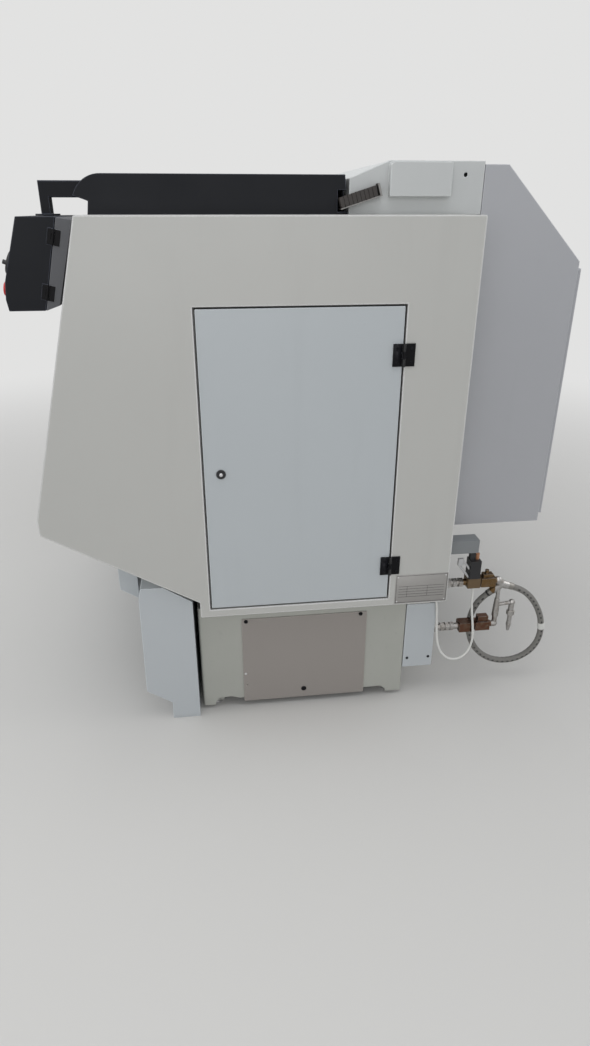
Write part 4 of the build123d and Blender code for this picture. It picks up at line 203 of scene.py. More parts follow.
class Look:
    """A node material: a Principled shader and short calls that add to it."""

    def __init__(self, name, rgb, rough, metal=0.0, coat=0.0):
        self.mat = bpy.data.materials.new(name)
        self.mat.use_nodes = True
        self.mat.diffuse_color = (*rgb, 1)
        self.tree = self.mat.node_tree
        self.shader = self.tree.nodes["Principled BSDF"]
        self.shader.inputs["Roughness"].default_value = rough
        self.shader.inputs["Metallic"].default_value = metal
        self.shader.inputs["Coat Weight"].default_value = coat
        self.shader.inputs["Coat Roughness"].default_value = 0.25
        self.place = self.node("ShaderNodeTexCoord").outputs["Object"]
        base = self.node("ShaderNodeRGB")
        base.outputs[0].default_value = (*rgb, 1)
        self.color = base.outputs[0]
        self.normal = None

    def node(self, kind):
        return self.tree.nodes.new(kind)

    def link(self, a, b):
        self.tree.links.new(a, b)

    def noise(self, scale, detail=3, rough=0.5, stretch=(1, 1, 1)):
        """Noise in the object's own coordinates, finer along an axis by its stretch."""
        mapping = self.node("ShaderNodeMapping")
        mapping.inputs["Scale"].default_value = stretch
        self.link(self.place, mapping.inputs["Vector"])
        node = self.node("ShaderNodeTexNoise")
        node.inputs["Scale"].default_value = scale
        node.inputs["Detail"].default_value = detail
        node.inputs["Roughness"].default_value = rough
        self.link(mapping.outputs[0], node.inputs["Vector"])
        return node.outputs["Fac"]

    def ramp(self, source, low, high, low_value=0.0, high_value=1.0):
        """A source's range from low to high, made a range of values."""
        node = self.node("ShaderNodeMapRange")
        node.inputs["From Min"].default_value = low
        node.inputs["From Max"].default_value = high
        node.inputs["To Min"].default_value = low_value
        node.inputs["To Max"].default_value = high_value
        self.link(source, node.inputs["Value"])
        return node.outputs["Result"]

    def tint(self, amount, rgb):
        """Mix a colour in by a mask."""
        node = self.node("ShaderNodeMix")
        node.data_type = "RGBA"
        self.link(amount, node.inputs["Factor"])
        self.link(self.color, node.inputs["A"])
        node.inputs["B"].default_value = (*rgb, 1)
        self.color = node.outputs["Result"]

    def bump(self, height, strength, distance):
        """Relief from a source, on top of any that is there."""
        node = self.node("ShaderNodeBump")
        node.inputs["Strength"].default_value = strength
        node.inputs["Distance"].default_value = distance
        self.link(height, node.inputs["Height"])
        if self.normal is not None:
            self.link(self.normal, node.inputs["Normal"])
        self.normal = node.outputs["Normal"]

    def roughness(self, source, low, high):
        """Roughness that varies between two values with a source."""
        self.link(self.ramp(source, 0.3, 0.7, low, high), self.shader.inputs["Roughness"])

    def band(self, axis, low, high, reach=0.0004):
        """A mask that is one between two places along an axis of the object."""
        split = self.node("ShaderNodeSeparateXYZ")
        self.link(self.place, split.inputs[0])
        rise = self.ramp(split.outputs[axis], low, low + reach)
        fall = self.ramp(split.outputs[axis], high, high + reach, 1.0, 0.0)
        return self.both(rise, fall)

    def both(self, first, second):
        """The part that two masks share."""
        return combine(self.tree, "MULTIPLY", first, second)

    def edges(self, radius, rgb, amount):
        """Rounded edges that catch the light, and a painted highlight: the colour turns paler along them.
        """
        soft = self.node("ShaderNodeBevel")
        soft.samples = 4
        soft.inputs["Radius"].default_value = radius
        self.normal = soft.outputs["Normal"]
        flat = self.node("ShaderNodeNewGeometry")
        turn = self.node("ShaderNodeVectorMath")
        turn.operation = "DOT_PRODUCT"
        self.link(soft.outputs["Normal"], turn.inputs[0])
        self.link(flat.outputs["True Normal"], turn.inputs[1])
        # painted highlight: the colour is mixed towards rgb where the rounded normal leaves the true one
        self.tint(self.ramp(turn.outputs["Value"], 0.996, 0.95, 0.0, amount), rgb)

    def painted_crevice_shade(self, rgb, reach, amount):
        """Painted shade where surfaces meet within a reach: the colour darkens by ambient occlusion."""
        node = self.node("ShaderNodeAmbientOcclusion")
        node.samples = 4
        node.inputs["Distance"].default_value = reach
        # painted shade: darker colour where ambient occlusion is low
        self.tint(self.ramp(node.outputs["AO"], 0.15, 0.75, amount, 0.0), rgb)

    def done(self):
        """The finished material."""
        self.link(self.color, self.shader.inputs["Base Color"])
        if self.normal is not None:
            self.link(self.normal, self.shader.inputs["Normal"])
        return self.mat


def shade(rgb, factor):
    """A lighter or darker version of a colour."""
    return tuple(min(1.0, c * factor) for c in rgb)


def paint(
    name, rgb, rough=0.42, texture=0.10, grain=420, dust=0.25, coat=0.15,
    gloss=0.5, edge=1.75, soft=0.0034, black=None, painted_shade_band=None,
):
    """Sprayed paint on sheet metal: orange peel, faint clouding, streaks of dust, painted shade in corners
    and a painted highlight along edges.
    """
    look_ = Look(name, rgb, rough, coat=coat)
    look_.shader.inputs["Specular IOR Level"].default_value = gloss
    look_.tint(look_.ramp(look_.noise(1.6, 4), 0.35, 0.7, 0.0, 0.35), shade(rgb, 0.94))
    look_.tint(look_.ramp(look_.noise(9, 5, 0.6, (1, 1, 0.12)), 0.56, 0.80, 0.0, dust), shade(rgb, 0.86))
    look_.tint(look_.ramp(look_.noise(60, 2), 0.70, 0.78, 0.0, 0.25), shade(rgb, 0.90))
    # painted shade in corners and gaps, from ambient occlusion
    look_.painted_crevice_shade(shade(rgb, 0.45), 0.03, 0.5)
    # painted highlight along the edges: the colour times edge, over the bevel radius soft
    look_.edges(soft, shade(rgb, edge), 0.9)
    # painted shade: a band along an axis is darkened to 0.42 of the colour
    if painted_shade_band:
        look_.tint(look_.band(*painted_shade_band), shade(rgb, 0.42))
    if black:
        look_.tint(look_.band(*black), (0.003, 0.003, 0.004))
    look_.bump(look_.noise(grain, 2), texture, 0.0006)
    look_.bump(look_.noise(14, 3), 0.05, 0.004)
    look_.roughness(look_.noise(5, 4), rough - 0.05, rough + 0.08)
    return look_.done()


def metal(name, rgb, rough, stretch=(1, 60, 60), wear=0.3):
    """Machined or brushed metal with fine lines along one direction."""
    look_ = Look(name, rgb, rough, metal=1.0)
    lines = look_.noise(25, 4, 0.6, stretch)
    look_.tint(look_.ramp(lines, 0.35, 0.75, 0.0, wear), shade(rgb, 0.72))
    look_.tint(look_.ramp(look_.noise(7, 4), 0.55, 0.8, 0.0, 0.4), shade(rgb, 0.80))
    look_.bump(lines, 0.12, 0.0004)
    look_.roughness(look_.noise(18, 4), max(0.05, rough - 0.08), rough + 0.12)
    return look_.done()


def plastic(name, rgb, rough, grain=900, texture=0.15):
    """Moulded plastic with a fine spark texture."""
    look_ = Look(name, rgb, rough)
    look_.tint(look_.ramp(look_.noise(20, 3), 0.4, 0.75, 0.0, 0.4), shade(rgb, 0.85))
    look_.bump(look_.noise(grain, 2), texture, 0.0004)
    look_.roughness(look_.noise(40, 3), rough - 0.05, rough + 0.1)
    return look_.done()


def casting(name, rgb, rough=0.5):
    """Painted casting: sand texture under a thick coat, with handling marks."""
    look_ = Look(name, rgb, rough, coat=0.1)
    look_.tint(look_.ramp(look_.noise(3, 5), 0.4, 0.72, 0.0, 0.45), shade(rgb, 0.86))
    look_.tint(look_.ramp(look_.noise(26, 5, 0.65), 0.62, 0.75, 0.0, 0.35), shade(rgb, 0.68))
    # painted shade in corners and gaps, from ambient occlusion
    look_.painted_crevice_shade(shade(rgb, 0.4), 0.05, 0.6)
    look_.bump(look_.noise(160, 4), 0.25, 0.0012)
    look_.bump(look_.noise(12, 3), 0.12, 0.005)
    look_.roughness(look_.noise(9, 4), rough - 0.08, rough + 0.12)
    return look_.done()


def braid(name, along, around):
    """Grey braided sleeve: crossing strands with black marker dashes along the hose."""
    look_ = Look(name, (0.25, 0.24, 0.22), 0.6)
    uv = look_.node("ShaderNodeTexCoord").outputs["UV"]
    waves = []
    for turn in (1, -1):
        mapping = look_.node("ShaderNodeMapping")
        mapping.inputs["Scale"].default_value = (along, around, 1)
        mapping.inputs["Rotation"].default_value = (0, 0, turn * STRAND_ANGLE)
        look_.link(uv, mapping.inputs["Vector"])
        wave = look_.node("ShaderNodeTexWave")
        wave.inputs["Scale"].default_value = 1.0
        look_.link(mapping.outputs[0], wave.inputs["Vector"])
        waves.append(wave.outputs["Fac"])
    weave = look_.both(*waves)
    look_.tint(look_.ramp(weave, 0.0, 0.25, 0.75, 0.0), (0.12, 0.12, 0.115))
    look_.tint(look_.ramp(weave, 0.5, 0.9, 0.0, 0.6), (0.36, 0.35, 0.33))
    dash_map = look_.node("ShaderNodeMapping")
    dash_map.inputs["Scale"].default_value = (along * 0.09, 2, 1)
    look_.link(uv, dash_map.inputs["Vector"])
    dash = look_.node("ShaderNodeTexWave")
    dash.bands_direction = "X"
    dash.inputs["Scale"].default_value = 1.0
    look_.link(dash_map.outputs[0], dash.inputs["Vector"])
    side = look_.node("ShaderNodeTexWave")
    side.bands_direction = "Y"
    side.inputs["Scale"].default_value = 0.5
    look_.link(dash_map.outputs[0], side.inputs["Vector"])
    short = look_.ramp(dash.outputs["Fac"], 0.62, 0.66)
    narrow = look_.ramp(side.outputs["Fac"], 0.80, 0.84)
    look_.tint(look_.both(short, narrow), (0.03, 0.03, 0.03))
    look_.bump(weave, 0.6, 0.0010)
    return look_.done()


def glass(name, rgb):
    """Thin tinted window glass, faintly wavy and dusty."""
    look_ = Look(name, rgb, 0.06)
    look_.shader.inputs["Alpha"].default_value = 0.42
    look_.shader.inputs["IOR"].default_value = 1.5
    look_.bump(look_.noise(3, 2), 0.02, 0.002)
    look_.tint(look_.ramp(look_.noise(30, 4), 0.5, 0.8, 0.0, 0.3), shade(rgb, 1.6))
    look_.mat.surface_render_method = "BLENDED"
    return look_.done()


COVER = (0.510, 0.508, 0.484)
COOL = (0.500, 0.530, 0.550)
ACCESS = (0.490, 0.522, 0.540)
ANTHRACITE = (0.010, 0.011, 0.014)
# paint turns black past a face, where hinges stand proud of it
BEYOND = 2.0
PENDANT_HINGES = {"black": ("X", 0.8204, BEYOND)}
ACCESS_HINGES = {"black": ("X", 0.8985, BEYOND)}
DARK = {"rough": 0.52, "texture": 0.30, "grain": 700, "dust": 0.3, "coat": 0.0, "gloss": 0.18}
# edge and soft set the painted highlight along each paint's edges; the end cover and the dark paints get
# the strongest
mats = {
    "cover_white": paint("cover_white", COVER),
    "door_white": paint("door_white", COOL, rough=0.36),
    "access_white": paint("access_white", ACCESS, rough=0.36, **ACCESS_HINGES),
    "cabinet_white": paint("cabinet_white", (0.424, 0.430, 0.452), rough=0.38),
    "end_white": paint("end_white", COVER, edge=2.2, soft=0.0060),
    # painted light: the roof housing's paint is made paler than the cover's, for the light its faces catch
    # from above
    "roof_white": paint("roof_white", (0.545, 0.560, 0.558)),
    # painted shade on the bracket's upper channel, which lies under the cabinet
    "bracket_white": paint("bracket_white", COOL, rough=0.36, painted_shade_band=("Z", 0.56, 0.65)),
    "base_paint": casting("base_paint", (0.425, 0.430, 0.392), 0.40),
    "plate_grey": paint("plate_grey", (0.312, 0.285, 0.264), rough=0.45, texture=0.15),
    "anthracite": paint("anthracite", ANTHRACITE, edge=11, **DARK),
    "pendant_paint": paint("pendant_paint", ANTHRACITE, edge=11, **PENDANT_HINGES, **DARK),
    "charcoal": paint("charcoal", (0.120, 0.122, 0.130), edge=1.8, **PENDANT_HINGES, **DARK),
    "black_metal": paint("black_metal", (0.005, 0.005, 0.006), texture=0.15, coat=0.0, gloss=0.12, edge=4),
    "inner_white": paint("inner_white", (0.48, 0.49, 0.49)),
    "cast_paint": casting("cast_paint", (0.30, 0.32, 0.31)),
    "cast_iron": metal("cast_iron", (0.33, 0.33, 0.34), 0.42, wear=0.5),
    "steel": metal("steel", (0.58, 0.58, 0.59), 0.30),
    "chrome": metal("chrome", (0.78, 0.78, 0.80), 0.12, wear=0.15),
    "aluminium": metal("aluminium", (0.70, 0.70, 0.71), 0.36),
    "brass": metal("brass", (0.62, 0.46, 0.20), 0.30, stretch=(1, 1, 1), wear=0.4),
    "rubber": plastic("rubber", (0.018, 0.018, 0.019), 0.62, 300, 0.35),
    "black_plastic": plastic("black_plastic", (0.018, 0.018, 0.020), 0.42),
    "red_plastic": plastic("red_plastic", (0.55, 0.012, 0.010), 0.28, 1200, 0.05),
    "green_plastic": plastic("green_plastic", (0.015, 0.32, 0.06), 0.30, 1200, 0.05),
    "yellow_plastic": plastic("yellow_plastic", (0.75, 0.48, 0.02), 0.32, 1200, 0.05),
    "cable_white": plastic("cable_white", (0.72, 0.72, 0.69), 0.40, 600, 0.05),
    "hose_grey": braid("hose_grey", 150, 6),
    "window": glass("window", (0.16, 0.18, 0.19)),
    "screen": plastic("screen", (0.010, 0.012, 0.016), 0.10, 1200, 0.02),
    "key_grey": plastic("key_grey", (0.30, 0.31, 0.33), 0.5),
    "key_dark": plastic("key_dark", (0.06, 0.06, 0.07), 0.5),
    "silver_plate": metal("silver_plate", (0.42, 0.41, 0.40), 0.42, stretch=(40, 1, 40), wear=0.2),
    "hose_steel": metal("hose_steel", (0.30, 0.29, 0.27), 0.40, wear=0.4),
}


# where one CAD node has pieces of several materials, in metres
VALVE_BODIES_Y, LOWER_BODY_Z = (0.5665, 0.6925), (0.1, 0.36)
VALVE_BRASS_Z, KNOB_Z, KNOB_Y = (0.3, 0.4708), (0.5402, 0.9), (0.6015, 0.9)
RODS_Y, RODS_Z = (0.3, 0.5802), (0.3, 0.9)
CHAIN_TRAY_X = (0.7443, 0.9)
DRIVES_Z, CONTACTORS_Z, SUPPLY_X = (1.20, 1.55), (1.005, 1.115), (0.490, 0.70)
PLATE_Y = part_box("cabinet_devices")[0].y + 0.016


def fittings():
    """Pipework: bright nipples and elbows, with the valve bodies in brass."""
    look_ = Look("fittings", (0.44, 0.43, 0.42), 0.28, metal=1.0)
    brass = look_.band("Y", *VALVE_BODIES_Y)
    look_.tint(brass, (0.17, 0.105, 0.048))
    lower_body = look_.both(brass, look_.band("Z", *LOWER_BODY_Z))
    look_.tint(lower_body, (0.13, 0.065, 0.042))
    look_.tint(look_.ramp(look_.noise(60, 4), 0.45, 0.75, 0.0, 0.6), (0.20, 0.16, 0.12))
    # painted shade in corners and gaps, from ambient occlusion
    look_.painted_crevice_shade((0.05, 0.04, 0.03), 0.01, 0.6)
    # painted highlight along the edges
    look_.edges(0.0008, (0.80, 0.76, 0.70), 0.6)
    look_.roughness(look_.noise(40, 3), 0.22, 0.42)
    look_.bump(look_.noise(300, 3), 0.15, 0.0005)
    return look_.done()


def valve():
    """Solenoid valve: black coil, brass body below, copper knob on top, bright rods beside it."""
    look_ = Look("valve", (0.014, 0.014, 0.016), 0.38)
    look_.tint(look_.band("Z", *VALVE_BRASS_Z), (0.125, 0.078, 0.034))
    look_.tint(look_.both(look_.band("Z", *KNOB_Z), look_.band("Y", *KNOB_Y)), (0.42, 0.19, 0.09))
    look_.tint(look_.both(look_.band("Y", *RODS_Y), look_.band("Z", *RODS_Z)), (0.50, 0.50, 0.50))
    # painted shade in corners and gaps, from ambient occlusion
    look_.painted_crevice_shade((0.005, 0.005, 0.005), 0.01, 0.5)
    # painted highlight along the edges
    look_.edges(0.0010, (0.10, 0.10, 0.10), 0.4)
    look_.roughness(look_.noise(40, 3), 0.30, 0.50)
    return look_.done()


def chain():
    """Cable chain: brown black links, with the bare tray and post standing proud of them."""
    look_ = Look("chain", (0.026, 0.021, 0.019), 0.50)
    look_.tint(look_.ramp(look_.noise(40, 4), 0.45, 0.7, 0.0, 0.5), (0.050, 0.041, 0.037))
    look_.tint(look_.band("X", *CHAIN_TRAY_X), (0.26, 0.25, 0.24))
    # painted shade in corners and gaps, from ambient occlusion
    look_.painted_crevice_shade((0.008, 0.007, 0.006), 0.01, 0.6)
    # painted highlight along the edges
    look_.edges(0.0010, (0.09, 0.08, 0.07), 0.5)
    look_.roughness(look_.noise(40, 3), 0.45, 0.60)
    return look_.done()


def devices():
    """Mounting plate in zinc grey, with pale ducts, black drives and contactors and a grey supply."""
    look_ = Look("devices", (0.46, 0.47, 0.45), 0.42)
    look_.tint(look_.ramp(look_.noise(5, 4), 0.4, 0.7, 0.0, 0.4), (0.38, 0.39, 0.38))
    proud = look_.band("Y", PLATE_Y + 0.0008, BEYOND)
    look_.tint(proud, (0.30, 0.32, 0.34))
    look_.tint(look_.both(proud, look_.band("Z", *DRIVES_Z)), (0.050, 0.052, 0.057))
    low = look_.both(proud, look_.band("Z", *CONTACTORS_Z))
    look_.tint(low, (0.030, 0.031, 0.034))
    look_.tint(look_.both(low, look_.band("X", *SUPPLY_X)), (0.24, 0.25, 0.25))
    # painted shade in corners and gaps, from ambient occlusion
    look_.painted_crevice_shade((0.05, 0.05, 0.05), 0.02, 0.5)
    look_.bump(look_.noise(500, 2), 0.12, 0.0005)
    look_.roughness(look_.noise(12, 3), 0.35, 0.50)
    return look_.done()


mats.update(devices=devices(), fittings=fittings(), valve=valve(), chain=chain())

# nodes whose look isn't that of their slot
own_look = {
    "access_door": "access_white",
    "electrical_cabinet": "cabinet_white",
    "cabinet_door": "cabinet_white",
    "pipe_fittings": "fittings",
    "solenoid_valve": "valve",
    "cable_chain": "chain",
    "cabinet_devices": "devices",
    "right_end_cover": "end_white",
    "roof_housing": "roof_white",
    "rear_brackets": "bracket_white",
    "pendant_housing": "pendant_paint",
}
look_of = {p["node"]: p["material_slot"] for p in frame["record"]["subparts"]}
look_of.update(own_look)
for node_name, node_object in frame["nodes"].items():
    node_object.data.materials.clear()
    node_object.data.materials.append(mats[look_of[node_name]])


# ---------------------------------------------------------------------------
# Mesh helpers
# ---------------------------------------------------------------------------
X, Y, Z = Vector((1, 0, 0)), Vector((0, 1, 0)), Vector((0, 0, 1))
SHARP_ANGLE = 40 * pi / 180


def basis(place, normal, along):
    """A matrix whose Z is the normal and whose X lies along a direction."""
    z = Vector(normal).normalized()
    x = (Vector(along) - z * Vector(along).dot(z)).normalized()
    y = z.cross(x)
    turn = Matrix((x, y, z)).transposed().to_4x4()
    return Matrix.Translation(Vector(place)) @ turn


def add_block(bm, at, size, lift=0.0, edge=0.001):
    """A block with rounded edges on a plane, its foot at the plane plus lift."""
    made = bmesh.ops.create_cube(bm, size=1.0)["verts"]
    scale = Matrix.Diagonal((size[0], size[1], size[2], 1))
    shift = Matrix.Translation((0, 0, size[2] / 2 + lift))
    bmesh.ops.transform(bm, matrix=at @ shift @ scale, verts=made)
    if edge:
        edges = list({e for v in made for e in v.link_edges})
        bmesh.ops.bevel(bm, geom=edges, offset=edge, segments=2, affect="EDGES", profile=0.5)


def add_turned(bm, at, profile, steps=32, hexes=()):
    """A turned form about Z from points of radius and height. Rings in hexes are six sided."""
    rings = []
    for number, (radius, height) in enumerate(profile):
        if radius == 0:
            rings.append([bm.verts.new(at @ Vector((0, 0, height)))])
            continue
        ring = []
        for step in range(steps):
            angle = 2 * pi * step / steps
            r = radius
            if number in hexes:
                r = radius * cos(pi / 6) / cos((angle % (pi / 3)) - pi / 6)
            ring.append(bm.verts.new(at @ Vector((r * cos(angle), r * sin(angle), height))))
        rings.append(ring)
    for a, b in zip(rings, rings[1:]):
        for step in range(steps):
            corners = [a[step % len(a)], a[(step + 1) % len(a)], b[(step + 1) % len(b)], b[step % len(b)]]
            unique = list(dict.fromkeys(corners))
            if len(unique) > 2:
                bm.faces.new(unique)
    for ring in (rings[0], rings[-1]):
        if len(ring) > 2:
            bm.faces.new(ring)


def add_frame(bm, at, outer, inner, height, edge=0.001):
    """A flat rectangular ring: a seal or bezel."""
    corner = []
    for half_x, half_y in (outer, inner):
        for level in (0, height):
            for sx, sy in ((-1, -1), (1, -1), (1, 1), (-1, 1)):
                corner.append(bm.verts.new(at @ Vector((sx * half_x, sy * half_y, level))))
    for i in range(4):
        j = (i + 1) % 4
        bm.faces.new((corner[i], corner[j], corner[4 + j], corner[4 + i]))
        bm.faces.new((corner[8 + j], corner[8 + i], corner[12 + i], corner[12 + j]))
        bm.faces.new((corner[4 + i], corner[4 + j], corner[12 + j], corner[12 + i]))
        bm.faces.new((corner[j], corner[i], corner[8 + i], corner[8 + j]))
    if edge:
        rim = [e for e in bm.edges if all(v in corner[4:8] + corner[12:16] for v in e.verts)]
        bmesh.ops.bevel(bm, geom=rim, offset=edge, segments=2, affect="EDGES", profile=0.5)


def add_tube(bm, path, radius, steps=24):
    """A round bar along points that lie in one plane square to X."""
    turns = [2 * pi * step / steps for step in range(steps)]
    rings = []
    for number, place in enumerate(path):
        way = (path[min(number + 1, len(path) - 1)] - path[max(number - 1, 0)]).normalized()
        side = way.cross(X)
        rings.append([bm.verts.new(place + (X * cos(a) + side * sin(a)) * radius) for a in turns])
    for a, b in zip(rings, rings[1:]):
        for step in range(steps):
            follow = (step + 1) % steps
            bm.faces.new((a[step], a[follow], b[follow], b[step]))
    for ring in (rings[0], rings[-1]):
        bm.faces.new(ring)


def screw(bm, at, radius, height):
    """A low domed screw head with a six sided socket, half as wide."""
    r, h, s = radius, height, radius * 0.5
    head = [(r, 0), (r, h * 0.45), (r * 0.93, h * 0.75), (r * 0.72, h)]
    hollow = [(s * 1.08, h), (s, h * 0.85), (s, h * 0.25), (0, h * 0.2)]
    add_turned(bm, at, head + hollow, 24, hexes=(4, 5, 6))


def piece(name, bm, body, slot, mat=None):
    """Make an object of a mesh, with the slot's material or another given one, and its body."""
    bmesh.ops.remove_doubles(bm, verts=bm.verts, dist=1e-6)
    bmesh.ops.recalc_face_normals(bm, faces=bm.faces)
    mesh = bpy.data.meshes.new(name)
    bm.to_mesh(mesh)
    bm.free()
    mesh.materials.append(mats[mat or slot])
    mesh.shade_smooth()
    mesh.set_sharp_from_angle(angle=SHARP_ANGLE)
    obj = bpy.data.objects.new(name, mesh)
    bpy.context.scene.collection.objects.link(obj)
    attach(obj, body)
    return obj


def on_right(y, z, x=RIGHT_FACE):
    """The plane of the right side, with its X along the machine's Y."""
    return basis((x, y, z), X, Y)


# ---------------------------------------------------------------------------
# Right side: nameplate, screws of the plate and bracket, hinges, lock insert, seal
# ---------------------------------------------------------------------------
NAMEPLATE_Y, NAMEPLATE_Z, NAMEPLATE_THICK, RULE_THICK = 0.3895, 0.4865, 0.0012, 0.0003
bm = bmesh.new()
add_block(bm, on_right(NAMEPLATE_Y, NAMEPLATE_Z), (0.181, 0.109, NAMEPLATE_THICK), edge=0.0005)
piece("nameplate", bm, "frame", "aluminium", "silver_plate")

# blank form: five lines, two columns and a border, as place and size
rules = [(NAMEPLATE_Y, 0.497 - 0.010 * row, 0.158, 0.0008) for row in range(5)]
rules += [(column, 0.477, 0.0008, 0.040) for column in (0.340, 0.410)]
rules += [(NAMEPLATE_Y, z, 0.175, 0.0010) for z in (0.5375, 0.4355)]
rules += [(y, NAMEPLATE_Z, 0.0010, 0.102) for y in (0.3025, 0.4765)]
bm = bmesh.new()
for y, z, wide, high in rules:
    add_block(bm, on_right(y, z), (wide, high, RULE_THICK), lift=NAMEPLATE_THICK, edge=0)
piece("nameplate_rules", bm, "frame", "black_plastic")

bm = bmesh.new()
for y in (0.3070, 0.4720):
    for z in (0.4400, 0.5330):
        screw(bm, on_right(y, z, RIGHT_FACE + NAMEPLATE_THICK), 0.0028, 0.0012)
piece("nameplate_rivets", bm, "frame", "aluminium")

base_plate_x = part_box("base_cover_plate")[1].x
bm = bmesh.new()
for y, z, radius in ((-0.203, 0.363, 0.0070), (0.198, 0.364, 0.0070), (-0.001, 0.060, 0.0095)):
    screw(bm, on_right(y, z, base_plate_x), radius, 0.0030)
piece("base_plate_screws", bm, "frame", "black_metal")

bm = bmesh.new()
screw(bm, on_right(-0.210, 0.144, base_plate_x), 0.0045, 0.0020)
piece("base_plate_rivet", bm, "frame", "aluminium")

BRACKET_FACE = 0.840
bm = bmesh.new()
for y in (0.380, 0.459):
    screw(bm, on_right(y, 0.158, BRACKET_FACE), 0.0050, 0.0025)
piece("bracket_screws", bm, "frame", "black_metal")

for name, y, body in (("hinge_screws_cover", 0.296, "frame"), ("hinge_screws_door", 0.254, "access_door")):
    bm = bmesh.new()
    for height in HINGE_HEIGHTS:
        for dz in (-0.020, 0.020):
            screw(bm, on_right(y, height + dz, HINGE_FACE), 0.0045, 0.0018)
    piece(name, bm, body, "black_metal")

bm = bmesh.new()
for height in HINGE_HEIGHTS:
    add_block(bm, on_right(0.25575, height, HINGE_FACE), (0.0262, 0.0646, 0.0004), edge=0.0001)
piece("hinge_leaf_skins", bm, "access_door", "black_metal")

bm = bmesh.new()
insert = [(0.0052, 0), (0.0052, 0.0012), (0.0046, 0.0016), (0.0026, 0.0016), (0.0024, 0.0006), (0, 0.0006)]
add_turned(bm, on_right(-0.264, 0.926, RIGHT_FACE + 0.003), insert, 32, hexes=(3, 4))
piece("lock_insert", bm, "access_lock", "chrome")

# black rubber seal round the door's opening, with the white jamb showing inside the gap
bm = bmesh.new()
add_frame(bm, basis((0.8805, -0.021, 0.9315), X, Y), (0.2945, 0.4730), (0.2895, 0.4680), 0.006, edge=0)
piece("access_door_seal", bm, "frame", "rubber")


# ---------------------------------------------------------------------------
# Front door: window seal with its screws, and the grip
# ---------------------------------------------------------------------------
def on_door(x, v):
    """The plane of the sliding door's skin, with its X along the machine's X."""
    return basis(front_point(x, v, DOOR_SKIN), FRONT_NORMAL, X)


window_middle = (WINDOW_V[0] + WINDOW_V[1]) / 2
window_half_v = (WINDOW_V[1] - WINDOW_V[0]) / 2
SEAL_OUT, SEAL_IN, SCREWS_OUT = 0.012, 0.004, 0.019
seal_outer = (WINDOW_HALF + SEAL_OUT, window_half_v + SEAL_OUT)
seal_inner = (WINDOW_HALF - SEAL_IN, window_half_v - SEAL_IN)
bm = bmesh.new()
add_frame(bm, on_door(0, window_middle), seal_outer, seal_inner, 0.0035)
piece("window_seal", bm, "front_door", "rubber")

screw_rows = (WINDOW_V[0] - SCREWS_OUT, WINDOW_V[1] + SCREWS_OUT)
screw_columns = (-WINDOW_HALF - SCREWS_OUT, WINDOW_HALF + SCREWS_OUT)
screw_places = [(x, v) for x in (-0.205, -0.105, 0, 0.105, 0.205) for v in screw_rows]
screw_places += [(x, v) for v in (0.42, 0.515, 0.61) for x in screw_columns]
bm = bmesh.new()
for x, v in screw_places:
    screw(bm, on_door(x, v), 0.0042, 0.0020)
piece("window_screws", bm, "front_door", "steel")

# grip on the outside of the door, on two feet
bm = bmesh.new()
grip = [front_point(GRIP_X, GRIP_V[0], DOOR_SKIN - 0.001)]
for side, middle in ((-1, GRIP_V[0] + GRIP_BEND), (1, GRIP_V[1] - GRIP_BEND)):
    for step in range(9):
        turn = pi / 16 * (step if side < 0 else 8 - step)
        v = middle + side * GRIP_BEND * cos(turn)
        grip.append(front_point(GRIP_X, v, GRIP_OUT + DOOR_SKIN - GRIP_BEND + GRIP_BEND * sin(turn)))
grip.append(front_point(GRIP_X, GRIP_V[1], DOOR_SKIN - 0.001))
add_tube(bm, grip, GRIP_RADIUS)
grip_foot = [(0.0160, 0), (0.0160, 0.0030), (0.0150, 0.0045), (0.0098, 0.0060), (0.0098, 0.0)]
for v in GRIP_V:
    add_turned(bm, on_door(GRIP_X, v), grip_foot, 32)
piece("door_grip", bm, "front_door", "black_plastic")


# ---------------------------------------------------------------------------
# Pendant: screen, keys, knobs
# ---------------------------------------------------------------------------
def upward(normal):
    """The way up along a plane that faces forwards."""
    up = normal.cross(X).normalized()
    return up if up.z > 0 else -up


def on_face(x, up, lift=0.0):
    """The pendant's screen face, from its middle."""
    return basis(FACE_ORIGIN + X * x + face_up * up + FACE_NORMAL * lift, FACE_NORMAL, X)


face_up = upward(FACE_NORMAL)
SCREEN_X = -0.085
bm = bmesh.new()
add_block(bm, on_face(SCREEN_X, 0, -0.0035), (0.199, 0.137, 0.0020), edge=0.0006)
piece("screen_glass", bm, "pendant", "black_plastic", "screen")

bm = bmesh.new()
add_frame(bm, on_face(SCREEN_X, 0), (0.108, 0.077), (0.0995, 0.0685), 0.0022, edge=0.0008)
piece("screen_bezel", bm, "pendant", "black_plastic")

KEY_SIZE, KEY_X, KEY_STEP, KEY_ROWS = (0.0125, 0.0105, 0.0022), 0.045, (0.0155, 0.0135), 4
KEY_FIELDS = (("keys_upper", 6, 0.066, "key_grey"), ("keys_lower", 4, 0.004, "key_dark"))
for name, columns, top, look_name in KEY_FIELDS:
    bm = bmesh.new()
    for column in range(columns):
        for row in range(KEY_ROWS):
            place = on_face(KEY_X + KEY_STEP[0] * column, top - KEY_STEP[1] * row)
            add_block(bm, place, KEY_SIZE, edge=0.0009)
    piece(name, bm, "pendant", "black_plastic", look_name)


def on_band(x):
    """The pendant's slanted band of buttons, from its middle."""
    return basis(BAND_ORIGIN + X * x, BAND_NORMAL, X)


